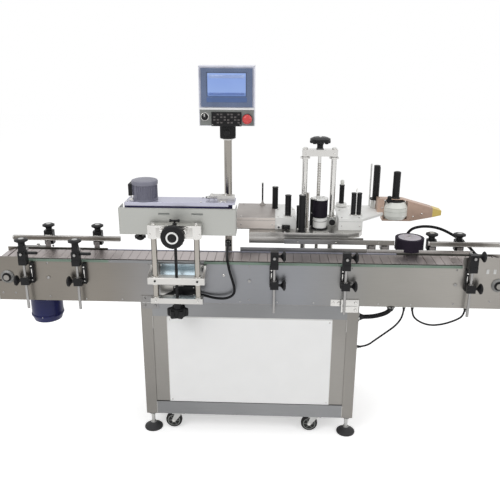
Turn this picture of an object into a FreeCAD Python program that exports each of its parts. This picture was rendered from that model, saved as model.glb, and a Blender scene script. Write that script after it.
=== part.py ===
import FreeCAD, Part
import math
import os
import re
import Sketcher

# Wrap around labeling machine: a slat conveyor on a steel cabinet, a wrap unit on its front,
# a label head on a stand behind it, and a touch panel on a mast. Millimetres, +X along the
# conveyor, +Y away from the operator, +Z up, origin on the floor under the middle.

SIZES = {
    # conveyor
    "belt_height": 850,
    "shaft_inset": 48,
    "pitch_radius": 72.8,
    "slat_rise": 11.2,
    "slat_thick": 4.8,
    "slat_width": 114,
    "slat_gap": 0.8,
    "knuckle_width": 22,
    "knuckle_drop": 6,
    "front_face": -186.5,
    "conveyor_width": 150,
    "plate_thick": 3,
    "plate_height": 189,
    "plate_reach": 1110,
    "plate_below_belt": 4,
    "flange_width": 18,
    "left_raise": 14,
    "left_raise_length": 145,
    "right_raise": 44,
    "right_raise_length": 207,
    "back_raise": 9,
    "back_raise_length": 460,
    "shaft_radius": 12.5,
    "run_clearance": 0.05,
    "bearing_radius": 22,
    "bearing_flange": 30,
    "bearing_depth": 12,
    "wheel_width": 20,
    "wheel_tip": 66,
    "wheel_spacing": 60,
    "tooth_notch": 9,
    "spacer_radius": 8,
    "spacer_spacing": 440,
    "strip_width": 18,
    "strip_thick": 8,
    "cap_width": 7,
    "cap_height": 9,
    # drive
    "gearbox_offset": 82,
    "gearbox_half": 62,
    "gearbox_depth": 92,
    "motor_radius": 73,
    "motor_top": 606,
    "motor_length": 137,
    "motor_flange_radius": 88,
    "motor_flange": 14,
    # cabinet
    "cabinet_width": 960,
    "cabinet_depth": 500,
    "leg_size": 50,
    "underside_height": 90,
    "top_sheet": 1.5,
    "rail_height": 65,
    "panel_inset": 4,
    "panel_thick": 2,
    "sign_width": 732,
    "sign_gap": 0.5,
    "sign_thick": 3,
    "foot_radius": 42,
    "foot_height": 30,
    "stud_radius": 8,
    "caster_radius": 38,
    "caster_lift": 3,
    "caster_width": 24,
    "caster_trail": 25,
    "caster_inset": 30,
    "caster_left": 332,
    "caster_right": 308,
    "fork_plate": 6,
    "door_gap": 0.5,
    "door_depth": 18,
    "door_side_gap": 40,
    "door_height": 440,
    "hinge_radius": 4,
    "gear_plate_width": 640,
    "gear_plate_height": 380,
    # touch panel
    "mast_x": -103,
    "mast_back": 195,
    "mast_radius": 17,
    "collar_radius": 33,
    "collar_height": 58,
    "panel_bottom": 1409,
    "panel_height": 244,
    "panel_width": 233,
    "panel_depth": 80,
    "panel_front": 150,
    "bezel_width": 215,
    "bezel_height": 156,
    "screen_width": 159,
    "screen_height": 91,
    # wrap unit
    "wrap_x": -303,
    "column_spacing": 178,
    "column_radius": 12,
    "column_front": 80,
    "bar_depth": 40,
    "wrap_bottom": 695,
    "wrap_plate": 24,
    "bracket_bottom": 782,
    "bracket_height": 30,
    "cross_bottom": 984,
    "cross_height": 56,
    "screw_radius": 6,
    "star_radius": 44,
    "star_height": 34,
    "hand_radius": 48,
    "hand_height": 22,
    "guide_radius": 8,
    "guide_spacing": 94,
    "cover_left": 541,
    "cover_length": 485,
    "cover_bottom": 984,
    "cover_height": 113,
    "cover_front": 45,
    "cover_depth": 78,
    "cover_thick": 2,
    "top_plate": 8,
    "top_plate_bottom": 1112,
    "pulley_radius": 34,
    "pulley_height": 104,
    "pulley_back": 12,
    "belt_thick": 6,
    "wrap_motor_radius": 50,
    "wrap_motor_height": 84,
    # label head
    "stand_x": 306,
    "stand_back": 340,
    "stand_spacing": 131,
    "stand_radius": 13,
    "stand_top": 1282,
    "cross_thick": 30,
    "wheel_gap": 38,
    "lift_wheel_radius": 46,
    "lift_wheel_height": 16,
    "base_bottom": 903,
    "base_thick": 22,
    "base_left": -11,
    "base_right": 507,
    "base_front": 200,
    "base_depth": 200,
    "head_front": 250,
    "head_depth": 250,
    "head_left": -60,
    "housing_top": 968,
    "deck_thick": 12,
    "drum_radius": 33,
    "roller_radius": 14,
    "pin_radius": 5,
    "hub_radius": 60,
    "spindle_radius": 17,
    # guides
    "post_radius": 6,
    "post_front": 34,
    "post_middle": 107,
    "post_right": 410,
    "rail_height_above_belt": 46,
    "guide_bar": 9,
    "guide_line": 166,
    "knob_radius": 22,
    "separator_radius": 64,
    "separator_x": 716,
    "separator_back": 205,
}

doc = FreeCAD.newDocument("wrap_labeler")
sheet = doc.addObject("Spreadsheet::Sheet", "Sheet")
for row, (alias, value) in enumerate(SIZES.items(), 1):
    sheet.set(f"A{row}", alias.replace("_", " "))
    sheet.set(f"B{row}", str(value))
    sheet.setAlias(f"B{row}", alias)
doc.recompute()

V = FreeCAD.Vector
TURN = {
    "z": FreeCAD.Rotation(),
    "x": FreeCAD.Rotation(V(0, 1, 0), 90),
    "y": FreeCAD.Rotation(V(1, 0, 0), -90),
    "-y": FreeCAD.Rotation(V(1, 0, 0), 90),
    "-x": FreeCAD.Rotation(V(0, 1, 0), -90),
    "-z": FreeCAD.Rotation(V(1, 0, 0), 180),
}
NODES = []


def bound(text):
    """Put the sheet's name before each size in an expression."""
    return re.sub(r"[a-z_]+", lambda m: "Sheet." + m[0] if m[0] in SIZES else m[0], str(text))


def size(alias):
    return float(sheet.get(alias))


def tie(thing, **sizes):
    for name, text in sizes.items():
        thing.setExpression(name, bound(text))
    return thing


def place(thing, x, y, z, axis="z"):
    thing.Placement = FreeCAD.Placement(V(), TURN[axis])
    for letter, text in zip("xyz", (x, y, z)):
        thing.setExpression(f"Placement.Base.{letter}", bound(text))
    return thing


def box(x, y, z, length, width, height):
    made = doc.addObject("Part::Box", "box")
    tie(made, Length=length, Width=width, Height=height)
    return place(made, x, y, z)


def block(x, y, z, length, width, height):
    """A box centred on x and y, standing on z."""
    return box(f"({x}) - ({length}) / 2", f"({y}) - ({width}) / 2", z, length, width, height)


def rod(x, y, z, radius, length, axis="z"):
    made = doc.addObject("Part::Cylinder", "rod")
    tie(made, Radius=radius, Height=length)
    return place(made, x, y, z, axis)


def taper(x, y, z, radius, top, length, axis="z"):
    made = doc.addObject("Part::Cone", "taper")
    tie(made, Radius1=radius, Radius2=top, Height=length)
    return place(made, x, y, z, axis)


def dome(x, y, z, radius, axis="z"):
    made = doc.addObject("Part::Sphere", "dome")
    tie(made, Radius=radius)
    made.Angle1 = 0
    return place(made, x, y, z, axis)


def ring(x, y, z, radius, bore, length, axis="z"):
    return cut(rod(x, y, z, radius, length, axis), rod(x, y, z, bore, length, axis))


def cut(base, *tools):
    for tool in tools:
        made = doc.addObject("Part::Cut", "cut")
        made.Base = base
        made.Tool = tool
        base = made
    return base


def join(*things):
    made = doc.addObject("Part::MultiFuse", "join")
    made.Shapes = list(things)
    made.Refine = True
    return made


def node(name, *things):
    """A sub-part of one or more separate solids."""
    made = things[0]
    if len(things) > 1:
        made = doc.addObject("Part::Compound", "group")
        made.Links = list(things)
    made.Label = name
    NODES.append(made)
    return made


def outline(body, plane, points):
    """A closed outline with straight sides, each corner held by two sizes."""
    sketch = body.newObject("Sketcher::SketchObject", "outline")
    origin = [part for part in body.Origin.OriginFeatures if part.Role == plane + "_Plane"]
    sketch.AttachmentSupport = (origin[0], [""])
    sketch.MapMode = "FlatFace"
    count = len(points)
    turn = [V(math.cos(2 * math.pi * i / count), math.sin(2 * math.pi * i / count), 0) for i in range(count)]
    for i in range(count):
        sketch.addGeometry(Part.LineSegment(turn[i], turn[(i + 1) % count]))
    for i in range(count):
        sketch.addConstraint(Sketcher.Constraint("Coincident", i, 2, (i + 1) % count, 1))
    for i, corner in enumerate(points):
        for kind, start, text in zip(("DistanceX", "DistanceY"), turn[i], corner):
            held = sketch.addConstraint(Sketcher.Constraint(kind, -1, 1, i, 1, start))
            sketch.setExpression(f"Constraints[{held}]", bound(text))
    return sketch


def prism(plane, points, start, depth):
    """An outline in the XZ, YZ or XY plane, pushed along +Y, +X or +Z from start."""
    body = doc.addObject("PartDesign::Body", "prism")
    pad = body.newObject("PartDesign::Pad", "pad")
    pad.Profile = outline(body, plane, points)
    pad.Reversed = plane == "XZ"
    tie(pad, Length=depth)
    letter = {"XZ": "y", "YZ": "x", "XY": "z"}[plane]
    body.setExpression(f"Placement.Base.{letter}", bound(start))
    return body


def turned(points, x, y, z, axis="z"):
    """An outline of radius and height, turned about the axis."""
    body = doc.addObject("PartDesign::Body", "turned")
    sketch = outline(body, "XZ", points)
    spin = body.newObject("PartDesign::Revolution", "spin")
    spin.Profile = sketch
    spin.ReferenceAxis = (sketch, ["V_Axis"])
    spin.Angle = 360
    return place(body, x, y, z, axis)


def back(distance):
    """A place behind the conveyor's front face."""
    return f"(front_face + ({distance}))"


SHAFT_Z = "(belt_height - slat_rise - pitch_radius)"
PLATE_TOP = "(belt_height - plate_below_belt)"
PLATE_BOTTOM = f"({PLATE_TOP} - plate_height)"
BACK_FACE = back("conveyor_width")
MID_LINE = back("conveyor_width / 2")
SIDES = (-1, 1)


LEFT_STEP = "-(plate_reach - left_raise_length)"
RIGHT_STEP = "(plate_reach - right_raise_length)"
BACK_STEP = "(plate_reach - back_raise_length)"
SHAFT_REACH = "(plate_reach - shaft_inset)"


def side_plates():
    front = prism("XZ", [
        ("-plate_reach", PLATE_BOTTOM), ("plate_reach", PLATE_BOTTOM),
        ("plate_reach", f"{PLATE_TOP} + right_raise"), (RIGHT_STEP, f"{PLATE_TOP} + right_raise"),
        (RIGHT_STEP, PLATE_TOP), (LEFT_STEP, PLATE_TOP),
        (LEFT_STEP, f"{PLATE_TOP} + left_raise"), ("-plate_reach", f"{PLATE_TOP} + left_raise"),
    ], "front_face", "plate_thick")
    rear = prism("XZ", [
        ("-plate_reach", PLATE_BOTTOM), ("plate_reach", PLATE_BOTTOM),
        ("plate_reach", f"{PLATE_TOP} + back_raise"), (BACK_STEP, f"{PLATE_TOP} + back_raise"),
        (BACK_STEP, PLATE_TOP), (f"-{BACK_STEP}", PLATE_TOP),
        (f"-{BACK_STEP}", f"{PLATE_TOP} + back_raise"), ("-plate_reach", f"{PLATE_TOP} + back_raise"),
    ], f"{BACK_FACE} - plate_thick", "plate_thick")
    rows = (("front_side_plate", front, "front_face", "front_face + plate_thick"),
            ("back_side_plate", rear, f"{BACK_FACE} - plate_thick",
             f"{BACK_FACE} - plate_thick - flange_width"))
    for name, plate, outer, inner in rows:
        flange = box("-plate_reach", inner, PLATE_BOTTOM, "2 * plate_reach", "flange_width", "plate_thick")
        bores = [rod(f"{side} * {SHAFT_REACH}", outer, SHAFT_Z, "bearing_radius", "plate_thick", "y")
                 for side in SIDES]
        node(name, cut(join(plate, flange), *bores))


def conveyor_hardware():
    pieces = []
    for side in SIDES:
        for face, axis in (("front_face + plate_thick", "-y"), (f"{BACK_FACE} - plate_thick", "y")):
            pieces.append(turned([
                ("shaft_radius + run_clearance", "0"), ("bearing_radius", "0"),
                ("bearing_radius", "plate_thick"), ("bearing_flange", "plate_thick"),
                ("bearing_flange", "bearing_depth * 0.5"), ("bearing_radius", "bearing_depth"),
                ("shaft_radius + run_clearance", "bearing_depth"),
            ], f"{side} * (plate_reach - shaft_inset)", face, SHAFT_Z, axis))
    for place_number in (-2, -1, 0, 1, 2):
        pieces.append(rod(f"{place_number} * spacer_spacing", "front_face + plate_thick", SHAFT_Z,
                          "spacer_radius", "conveyor_width - 2 * plate_thick", "y"))
    for side in SIDES:
        tab = box(f"{side} * (cabinet_width / 2 - 42) - 38", "front_face - plate_thick",
                  f"{PLATE_BOTTOM} - 30", 76, "plate_thick", 62)
        pieces.append(tab)
        for x in (-24, 24):
            for z in (-16, 18):
                pieces.append(rod(f"{side} * (cabinet_width / 2 - 42) + {x}", "front_face - plate_thick",
                                  f"{PLATE_BOTTOM} + {z}", 6, 5, "-y"))
    node("conveyor_hardware", *pieces)


def wear_strips():
    pieces = []
    slat_bottom = "(belt_height - slat_thick)"
    for side in SIDES:
        y = f"{MID_LINE} + {side} * (slat_width - strip_width) / 2 - strip_width / 2"
        for z in (f"{slat_bottom} - strip_thick", f"2 * {SHAFT_Z} - belt_height - strip_thick"):
            pieces.append(box(f"-({SHAFT_REACH} - 90)", y, z, f"2 * ({SHAFT_REACH} - 90)", "strip_width",
                              "strip_thick"))
        foot = f"{MID_LINE} + {side} * (conveyor_width / 2 - plate_thick)"
        for z in (f"{slat_bottom} - strip_thick - 3", f"2 * {SHAFT_Z} - belt_height - strip_thick - 3"):
            for place_number in (-2, -1, 0, 1, 2):
                reach = "(conveyor_width / 2 - plate_thick - slat_width / 2 + strip_width)"
                start = foot if side < 0 else f"{foot} - {reach}"
                pieces.append(box(f"{place_number} * spacer_spacing - 15", start, z, 30, reach, 3))
    rows = (("front_face + plate_thick / 2", LEFT_STEP, f"{RIGHT_STEP} - {LEFT_STEP}"),
            (f"{BACK_FACE} - plate_thick / 2", f"-{BACK_STEP}", f"2 * {BACK_STEP}"))
    for middle, start, length in rows:
        pieces.append(prism("YZ", [
            (f"{middle} - cap_width / 2", f"{PLATE_TOP} - cap_height * 0.6"),
            (f"{middle} - plate_thick / 2", f"{PLATE_TOP} - cap_height * 0.6"),
            (f"{middle} - plate_thick / 2", PLATE_TOP), (f"{middle} + plate_thick / 2", PLATE_TOP),
            (f"{middle} + plate_thick / 2", f"{PLATE_TOP} - cap_height * 0.6"),
            (f"{middle} + cap_width / 2", f"{PLATE_TOP} - cap_height * 0.6"),
            (f"{middle} + cap_width / 2", f"{PLATE_TOP} + cap_height * 0.4"),
            (f"{middle} - cap_width / 2", f"{PLATE_TOP} + cap_height * 0.4"),
        ], start, length))
    node("wear_strips", *pieces)


def slat_chain():
    wheel_radius = size("pitch_radius")
    """Links of one outline along the carry strand, round both end wheels and back."""
    straight = 2 * (size("plate_reach") - size("shaft_inset"))
    arc = math.pi * wheel_radius
    count = round((2 * straight + 2 * arc) / 38.1)
    pitch = (2 * straight + 2 * arc) / count
    half = (pitch - size("slat_gap")) / 2
    rise = size("slat_rise")
    thick = size("slat_thick")
    knuckle = size("knuckle_width") / 2
    drop = size("knuckle_drop")
    width = size("slat_width")
    inside = width / 2 - size("strip_width") - 1
    slat = [(-half, rise - thick), (-half, rise - 1), (-half + 1, rise), (half - 1, rise), (half, rise - 1),
            (half, rise - thick)]
    lug = [(knuckle, rise - thick), (knuckle - 3, -drop), (3 - knuckle, -drop), (-knuckle, rise - thick)]
    pieces = []
    for corners, reach in ((slat, width / 2), (lug, inside)):
        face = Part.Face(Part.makePolygon([V(x, -reach, z) for x, z in corners + corners[:1]]))
        pieces.append(face.extrude(V(0, 2 * reach, 0)))
    link = pieces[0].fuse(pieces[1]).removeSplitter()
    middle = size("front_face") + size("conveyor_width") / 2
    level = size("belt_height") - rise - wheel_radius
    links = []
    for i in range(count):
        way = (i + 0.5) * pitch
        if way < straight:
            spot, angle = (way - straight / 2, wheel_radius), 0.0
        elif way < straight + arc:
            turn = (way - straight) / wheel_radius
            spot = (straight / 2 + wheel_radius * math.sin(turn), wheel_radius * math.cos(turn))
            angle = turn
        elif way < 2 * straight + arc:
            spot, angle = (straight * 1.5 + arc - way, -wheel_radius), math.pi
        else:
            turn = (way - 2 * straight - arc) / wheel_radius
            spot = (-straight / 2 - wheel_radius * math.sin(turn), -wheel_radius * math.cos(turn))
            angle = math.pi + turn
        copy = link.copy()
        copy.Placement = FreeCAD.Placement(V(spot[0], middle, level + spot[1]),
                                           FreeCAD.Rotation(V(0, 1, 0), math.degrees(angle)))
        links.append(copy)
    chain = doc.addObject("Part::Feature", "chain")
    chain.Shape = Part.makeCompound(links)
    node("slat_chain", chain)


def chain_wheel(x, y):
    """A toothed wheel that turns inside the chain's knuckles."""
    notches = []
    teeth = 12
    for i in range(teeth):
        angle = f"{360 / teeth * i + 180 / teeth}"
        notches.append(rod(f"({x}) + wheel_tip * cos({angle})", y, f"{SHAFT_Z} + wheel_tip * sin({angle})",
                           "tooth_notch", "wheel_width", "y"))
    return cut(rod(x, y, SHAFT_Z, "wheel_tip", "wheel_width", "y"), *notches)


def shafts():
    for name, side in (("drive_shaft", -1), ("idler_shaft", 1)):
        x = f"{side} * (plate_reach - shaft_inset)"
        tail = "gearbox_depth" if side < 0 else "0"
        axle = rod(x, "front_face - 16", SHAFT_Z, "shaft_radius", f"conveyor_width + 32 + {tail}", "y")
        wheels = [chain_wheel(x, f"{MID_LINE} + {row} * wheel_spacing / 2 - wheel_width / 2")
                  for row in SIDES]
        node(name, join(axle, *wheels))


def gear_motor():
    x = "(-(plate_reach - shaft_inset))"
    y = f"({BACK_FACE} - plate_thick + bearing_depth)"
    spine = f"({x} + gearbox_offset)"
    middle = f"({y} + gearbox_depth / 2)"
    case = join(
        prism("XZ", [
            (f"{x} - gearbox_half * 0.6", f"{SHAFT_Z} - gearbox_half"),
            (f"{x} - gearbox_half", f"{SHAFT_Z} - gearbox_half * 0.6"),
            (f"{x} - gearbox_half", f"{SHAFT_Z} + gearbox_half * 0.6"),
            (f"{x} - gearbox_half * 0.6", f"{SHAFT_Z} + gearbox_half"),
            (f"{spine} + 20", f"{SHAFT_Z} + gearbox_half"),
            (f"{spine} + 46", f"{SHAFT_Z} + gearbox_half * 0.5"),
            (f"{spine} + 46", "motor_top + motor_flange"), (f"{spine} - 46", "motor_top + motor_flange"),
            (f"{spine} - 46", f"{SHAFT_Z} - gearbox_half"),
        ], y, "gearbox_depth"),
        rod(spine, middle, "motor_top", "motor_flange_radius", "motor_flange"),
    )
    bore = rod(x, y, SHAFT_Z, "shaft_radius + run_clearance", "gearbox_depth", "y")
    node("drive_gearbox", cut(case, bore))
    bottom = "(motor_top - motor_length)"
    shell = turned([
        ("0", "0"), ("motor_radius * 0.62", "0"), ("motor_radius * 0.88", "9"), ("motor_radius", "34"),
        ("motor_radius", "motor_length - 6"), ("motor_radius + 6", "motor_length - 6"),
        ("motor_radius + 6", "motor_length"), ("0", "motor_length"),
    ], spine, middle, bottom)
    terminal = block(spine, f"{middle} + motor_radius + 8", f"{bottom} + 62", 78, 44, 60)
    node("drive_motor", join(shell, terminal))


LEG_TOP = f"({PLATE_BOTTOM} - top_sheet)"
CABINET_BACK = back("cabinet_depth")
PANEL_LOW = "(underside_height + rail_height)"
PANEL_HIGH = f"({LEG_TOP} - rail_height)"
INNER_WIDTH = "(cabinet_width - 2 * leg_size)"
DOOR_FACE = f"({CABINET_BACK} + door_gap)"
DOOR_WIDTH = "(cabinet_width - 2 * door_side_gap)"
HINGE_X = f"({DOOR_WIDTH} / 2 + 6)"
HINGE_Y = f"({DOOR_FACE} + door_depth / 2)"
LATCH_X = "(leg_size + 25 - cabinet_width / 2)"
DOOR_LOW = f"({PANEL_LOW} - 2)"
HINGE_HEIGHTS = (60, 340)
CASTERS = (
    ("front_left", "-caster_left", back("caster_inset")),
    ("front_right", "caster_right", back("caster_inset")),
    ("rear_left", "-caster_left", f"({CABINET_BACK} - caster_inset)"),
    ("rear_right", "caster_right", f"({CABINET_BACK} - caster_inset)"),
)


def cabinet():
    height = f"{LEG_TOP} - underside_height"
    pieces = []
    for side in SIDES:
        for y in (back("leg_size / 2"), f"{CABINET_BACK} - leg_size / 2"):
            pieces.append(block(f"{side} * (cabinet_width - leg_size) / 2", y, "underside_height",
                                "leg_size", "leg_size", height))
    for z in ("underside_height", PANEL_HIGH):
        for y in ("front_face", f"{CABINET_BACK} - leg_size"):
            pieces.append(box(f"-{INNER_WIDTH} / 2", y, z, INNER_WIDTH, "leg_size", "rail_height"))
        for side in SIDES:
            pieces.append(box(f"{side} * (cabinet_width - leg_size) / 2 - leg_size / 2", back("leg_size"), z,
                              "leg_size", "cabinet_depth - 2 * leg_size", "rail_height"))
    for _, x, y in CASTERS:
        plate = block(x, y, "underside_height - fork_plate", 60, 52, "fork_plate")
        pieces.append(cut(plate, rod(x, y, "underside_height - fork_plate", "6 + run_clearance", "fork_plate")))
    for lift in HINGE_HEIGHTS:
        low = f"({DOOR_LOW} + {lift})"
        bearer = box(f"{HINGE_X} - 4", CABINET_BACK, f"{low} - 16", 26, "door_gap + door_depth / 2 + 2", 16)
        pieces.append(join(bearer, rod(HINGE_X, HINGE_Y, f"{low} - 16", "hinge_radius", 52)))
    node("cabinet_frame", *pieces)

    panel_high = f"{PANEL_HIGH} - {PANEL_LOW}"
    pieces = [
        box("-cabinet_width / 2", "front_face", LEG_TOP, "cabinet_width", "cabinet_depth", "top_sheet"),
        box(f"-{INNER_WIDTH} / 2", back(10), PANEL_LOW, INNER_WIDTH, "cabinet_depth - 20", "panel_thick"),
        box(f"-{INNER_WIDTH} / 2", back("panel_inset"), f"{PANEL_LOW} + panel_thick", INNER_WIDTH,
            "panel_thick", f"{panel_high} - panel_thick"),
    ]
    for side in SIDES:
        pieces.append(box(f"{side} * (cabinet_width / 2 - panel_inset - panel_thick / 2) - panel_thick / 2",
                          back("leg_size"), PANEL_LOW, "panel_thick", "cabinet_depth - 2 * leg_size",
                          panel_high))
    node("cabinet_panels", *pieces)
    node("sign_board", box("-sign_width / 2", back("panel_inset - sign_thick"),
                           f"{PANEL_LOW} + panel_thick + sign_gap", "sign_width", "sign_thick",
                           f"{PANEL_HIGH} - {PANEL_LOW} - panel_thick - 2 * sign_gap"))
    feet = []
    for side in SIDES:
        for y in (back("leg_size / 2"), f"{CABINET_BACK} - leg_size / 2"):
            feet.append(turned([
                ("0", "0"), ("foot_radius", "0"), ("foot_radius", "foot_height * 0.25"),
                ("stud_radius * 2.4", "foot_height * 0.72"), ("stud_radius * 1.8", "foot_height"),
                ("stud_radius", "foot_height"), ("stud_radius", "underside_height - 12"),
                ("stud_radius * 1.7", "underside_height - 12"), ("stud_radius * 1.7", "underside_height"),
                ("0", "underside_height"),
            ], f"{side} * (cabinet_width - leg_size) / 2", y, 0))
    node("leveling_feet", *feet)


def casters():
    crown = "(2 * caster_radius + caster_lift + 1)"
    top = "(underside_height - fork_plate - 0.3)"
    hub = "(caster_radius + caster_lift)"
    for name, x, y in CASTERS:
        axle = f"({x} - caster_trail)"
        half = "(caster_width / 2 + 1)"
        cheeks = [prism("XZ", [
            (f"{x} - 17", top), (f"{axle} - 10", hub), (axle, f"{hub} - 10"), (f"{axle} + 10", hub),
            (f"{x} + 17", top),
        ], f"{y} + {side} * ({half} + 1.5) - 1.5", 3) for side in SIDES]
        node("caster_fork_" + name, join(
            rod(x, y, crown, 6, f"underside_height - 1 - {crown}"),
            block(x, y, crown, 34, f"2 * {half} + 3", f"{top} - {crown}"),
            rod(axle, f"{y} - {half}", hub, 4, f"2 * {half}", "y"), *cheeks))
        wheel = turned([
            ("4 + run_clearance", "-caster_width / 2"), ("caster_radius - 5", "-caster_width / 2"),
            ("caster_radius", "5 - caster_width / 2"), ("caster_radius", "caster_width / 2 - 5"),
            ("caster_radius - 5", "caster_width / 2"), ("4 + run_clearance", "caster_width / 2"),
        ], axle, y, hub, "y")
        node("caster_wheel_" + name, wheel)


def door():
    latch_z = f"({DOOR_LOW} + door_height / 2)"
    pan = cut(box(f"-{DOOR_WIDTH} / 2", DOOR_FACE, DOOR_LOW, DOOR_WIDTH, "door_depth", "door_height"),
              box(f"2 - {DOOR_WIDTH} / 2", DOOR_FACE, f"{DOOR_LOW} + 2", f"{DOOR_WIDTH} - 4", "door_depth - 2",
                  "door_height - 4"))
    knuckles = [rod(HINGE_X, HINGE_Y, f"{DOOR_LOW} + {lift} + 0.3", 7, 40) for lift in HINGE_HEIGHTS]
    bores = [rod(HINGE_X, HINGE_Y, f"{DOOR_LOW} + {lift}", "hinge_radius + run_clearance", 37)
             for lift in HINGE_HEIGHTS]
    hole = rod(LATCH_X, DOOR_FACE, latch_z, "5 + run_clearance", "door_depth", "y")
    node("rear_door", cut(join(pan, *knuckles), hole, *bores))
    node("door_latch", join(
        rod(LATCH_X, f"{DOOR_FACE} - 8", latch_z, 5, "door_depth + 12", "y"),
        rod(LATCH_X, f"{DOOR_FACE} + door_depth + 0.3", latch_z, 14, 5, "y"),
        block(LATCH_X, f"{DOOR_FACE} + door_depth + 9", f"{latch_z} - 22", 9, 10, 44),
        box(f"{LATCH_X} - 5", f"{DOOR_FACE} - 8", f"{latch_z} - 22", 10, 3, 27)))


def electrical_panel():
    face = back(70)
    low = f"({PANEL_LOW} + 30)"
    pieces = [box("-gear_plate_width / 2", face, low, "gear_plate_width", 2, "gear_plate_height")]
    for side in SIDES:
        for z in (20, 360):
            pieces.append(rod(f"{side} * (gear_plate_width / 2 - 20)", back("panel_inset + panel_thick"),
                              f"{low} + {z}", 6, "66 - panel_thick + 2 - panel_inset + 2", "y"))
    behind = f"({face} + 2)"
    gear = ((-300, 600, 170, 40, 60), (-300, 600, 335, 40, 60), (-290, 60, 215, 110, 140),
            (-215, 60, 215, 110, 140), (-140, 60, 215, 110, 140), (-50, 140, 220, 100, 90),
            (120, 150, 215, 110, 80), (-290, 50, 50, 85, 80), (-230, 50, 50, 85, 80), (-170, 50, 50, 85, 80),
            (-90, 110, 40, 105, 70), (60, 220, 60, 50, 50))
    for x, length, z, height, depth in gear:
        pieces.append(box(x, behind, f"{low} + {z}", length, depth, height))
    node("electrical_panel", *pieces)


def touch_panel():
    y = back("mast_back")
    pipe = turned([
        ("0", PLATE_BOTTOM), ("mast_radius + 23", PLATE_BOTTOM), ("mast_radius + 23", f"{PLATE_BOTTOM} + 8"),
        ("mast_radius", f"{PLATE_BOTTOM} + 12"), ("mast_radius", "panel_bottom - 0.3"),
        ("0", "panel_bottom - 0.3"),
    ], "mast_x", y, 0)
    node("panel_mast", join(pipe, box("mast_x - 14", back(168), "belt_height + 16", 28, 16, 28)))
    face = back("panel_front")
    stop = ("(mast_x + 86)", "(panel_bottom + 30)")
    switch = ("(mast_x - 93)", "(panel_bottom + 38)")
    shell = join(
        box("mast_x - panel_width / 2", face, "panel_bottom", "panel_width", "panel_depth", "panel_height"),
        rod("mast_x", y, "panel_bottom - collar_height", "collar_radius", "collar_height"))
    bores = [rod("mast_x", y, "panel_bottom - collar_height", "mast_radius + run_clearance", "collar_height")]
    plate = box("mast_x - panel_width / 2 + 3", f"{face} - 2", "panel_bottom + 2", "panel_width - 6", 2, 64)
    for (x, z), radius in ((stop, 8), (switch, 6)):
        bores.append(rod(x, face, z, f"{radius} + run_clearance", 22, "y"))
        plate = cut(plate, rod(x, f"{face} - 2", z, f"{radius} + run_clearance", 2, "y"))
    keys = [block("mast_x - 2", f"{face} - 4", "panel_bottom + 10", 126, 4, 48)]
    for column in range(6):
        for line in range(2):
            keys.append(box(f"mast_x - 58 + {column * 19}", f"{face} - 8", f"panel_bottom + {15 + line * 20}",
                            15, 2, 16))
    guard = ring(stop[0], f"{face} - 2", stop[1], 15, "8 + run_clearance", 5, "-y")
    node("panel_box", cut(shell, *bores), plate, guard, *keys)
    bezel_z = "(panel_bottom + panel_height - bezel_height - 9)"
    frame = cut(
        box("mast_x - bezel_width / 2", f"{face} - 7", bezel_z, "bezel_width", 7, "bezel_height"),
        box("mast_x - screen_width / 2", f"{face} - 7", f"{bezel_z} + bezel_height * 0.29", "screen_width", 4,
            "screen_height"))
    glass = box("mast_x - screen_width / 2", f"{face} - 5", f"{bezel_z} + bezel_height * 0.29", "screen_width",
                2, "screen_height")
    node("touch_screen", frame, glass)
    node("stop_button", turned([
        ("0", "-18"), ("8", "-18"), ("8", "13"), ("19", "14"), ("20", "20"), ("15", "26"), ("0", "28"),
    ], stop[0], face, stop[1], "-y"))
    node("selector_switch", join(
        turned([("0", "-18"), ("6", "-18"), ("6", "2.3"), ("15", "2.3"), ("13", "9"), ("0", "9")],
               switch[0], face, switch[1], "-y"),
        box(f"{switch[0]} - 3.5", f"{face} - 19", f"{switch[1]} - 13", 7, 11, 26)))


COLUMN_Y = back("0 - column_front")
BAR_TOP = "(wrap_bottom + wrap_plate)"
RIGHT_PULLEY = "(-cover_left + cover_length - 57)"
LEFT_PULLEY = "(-cover_left + 55)"
PULLEY_Y = back("pulley_back")
COVER_FACE = back("0 - cover_front")


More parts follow.
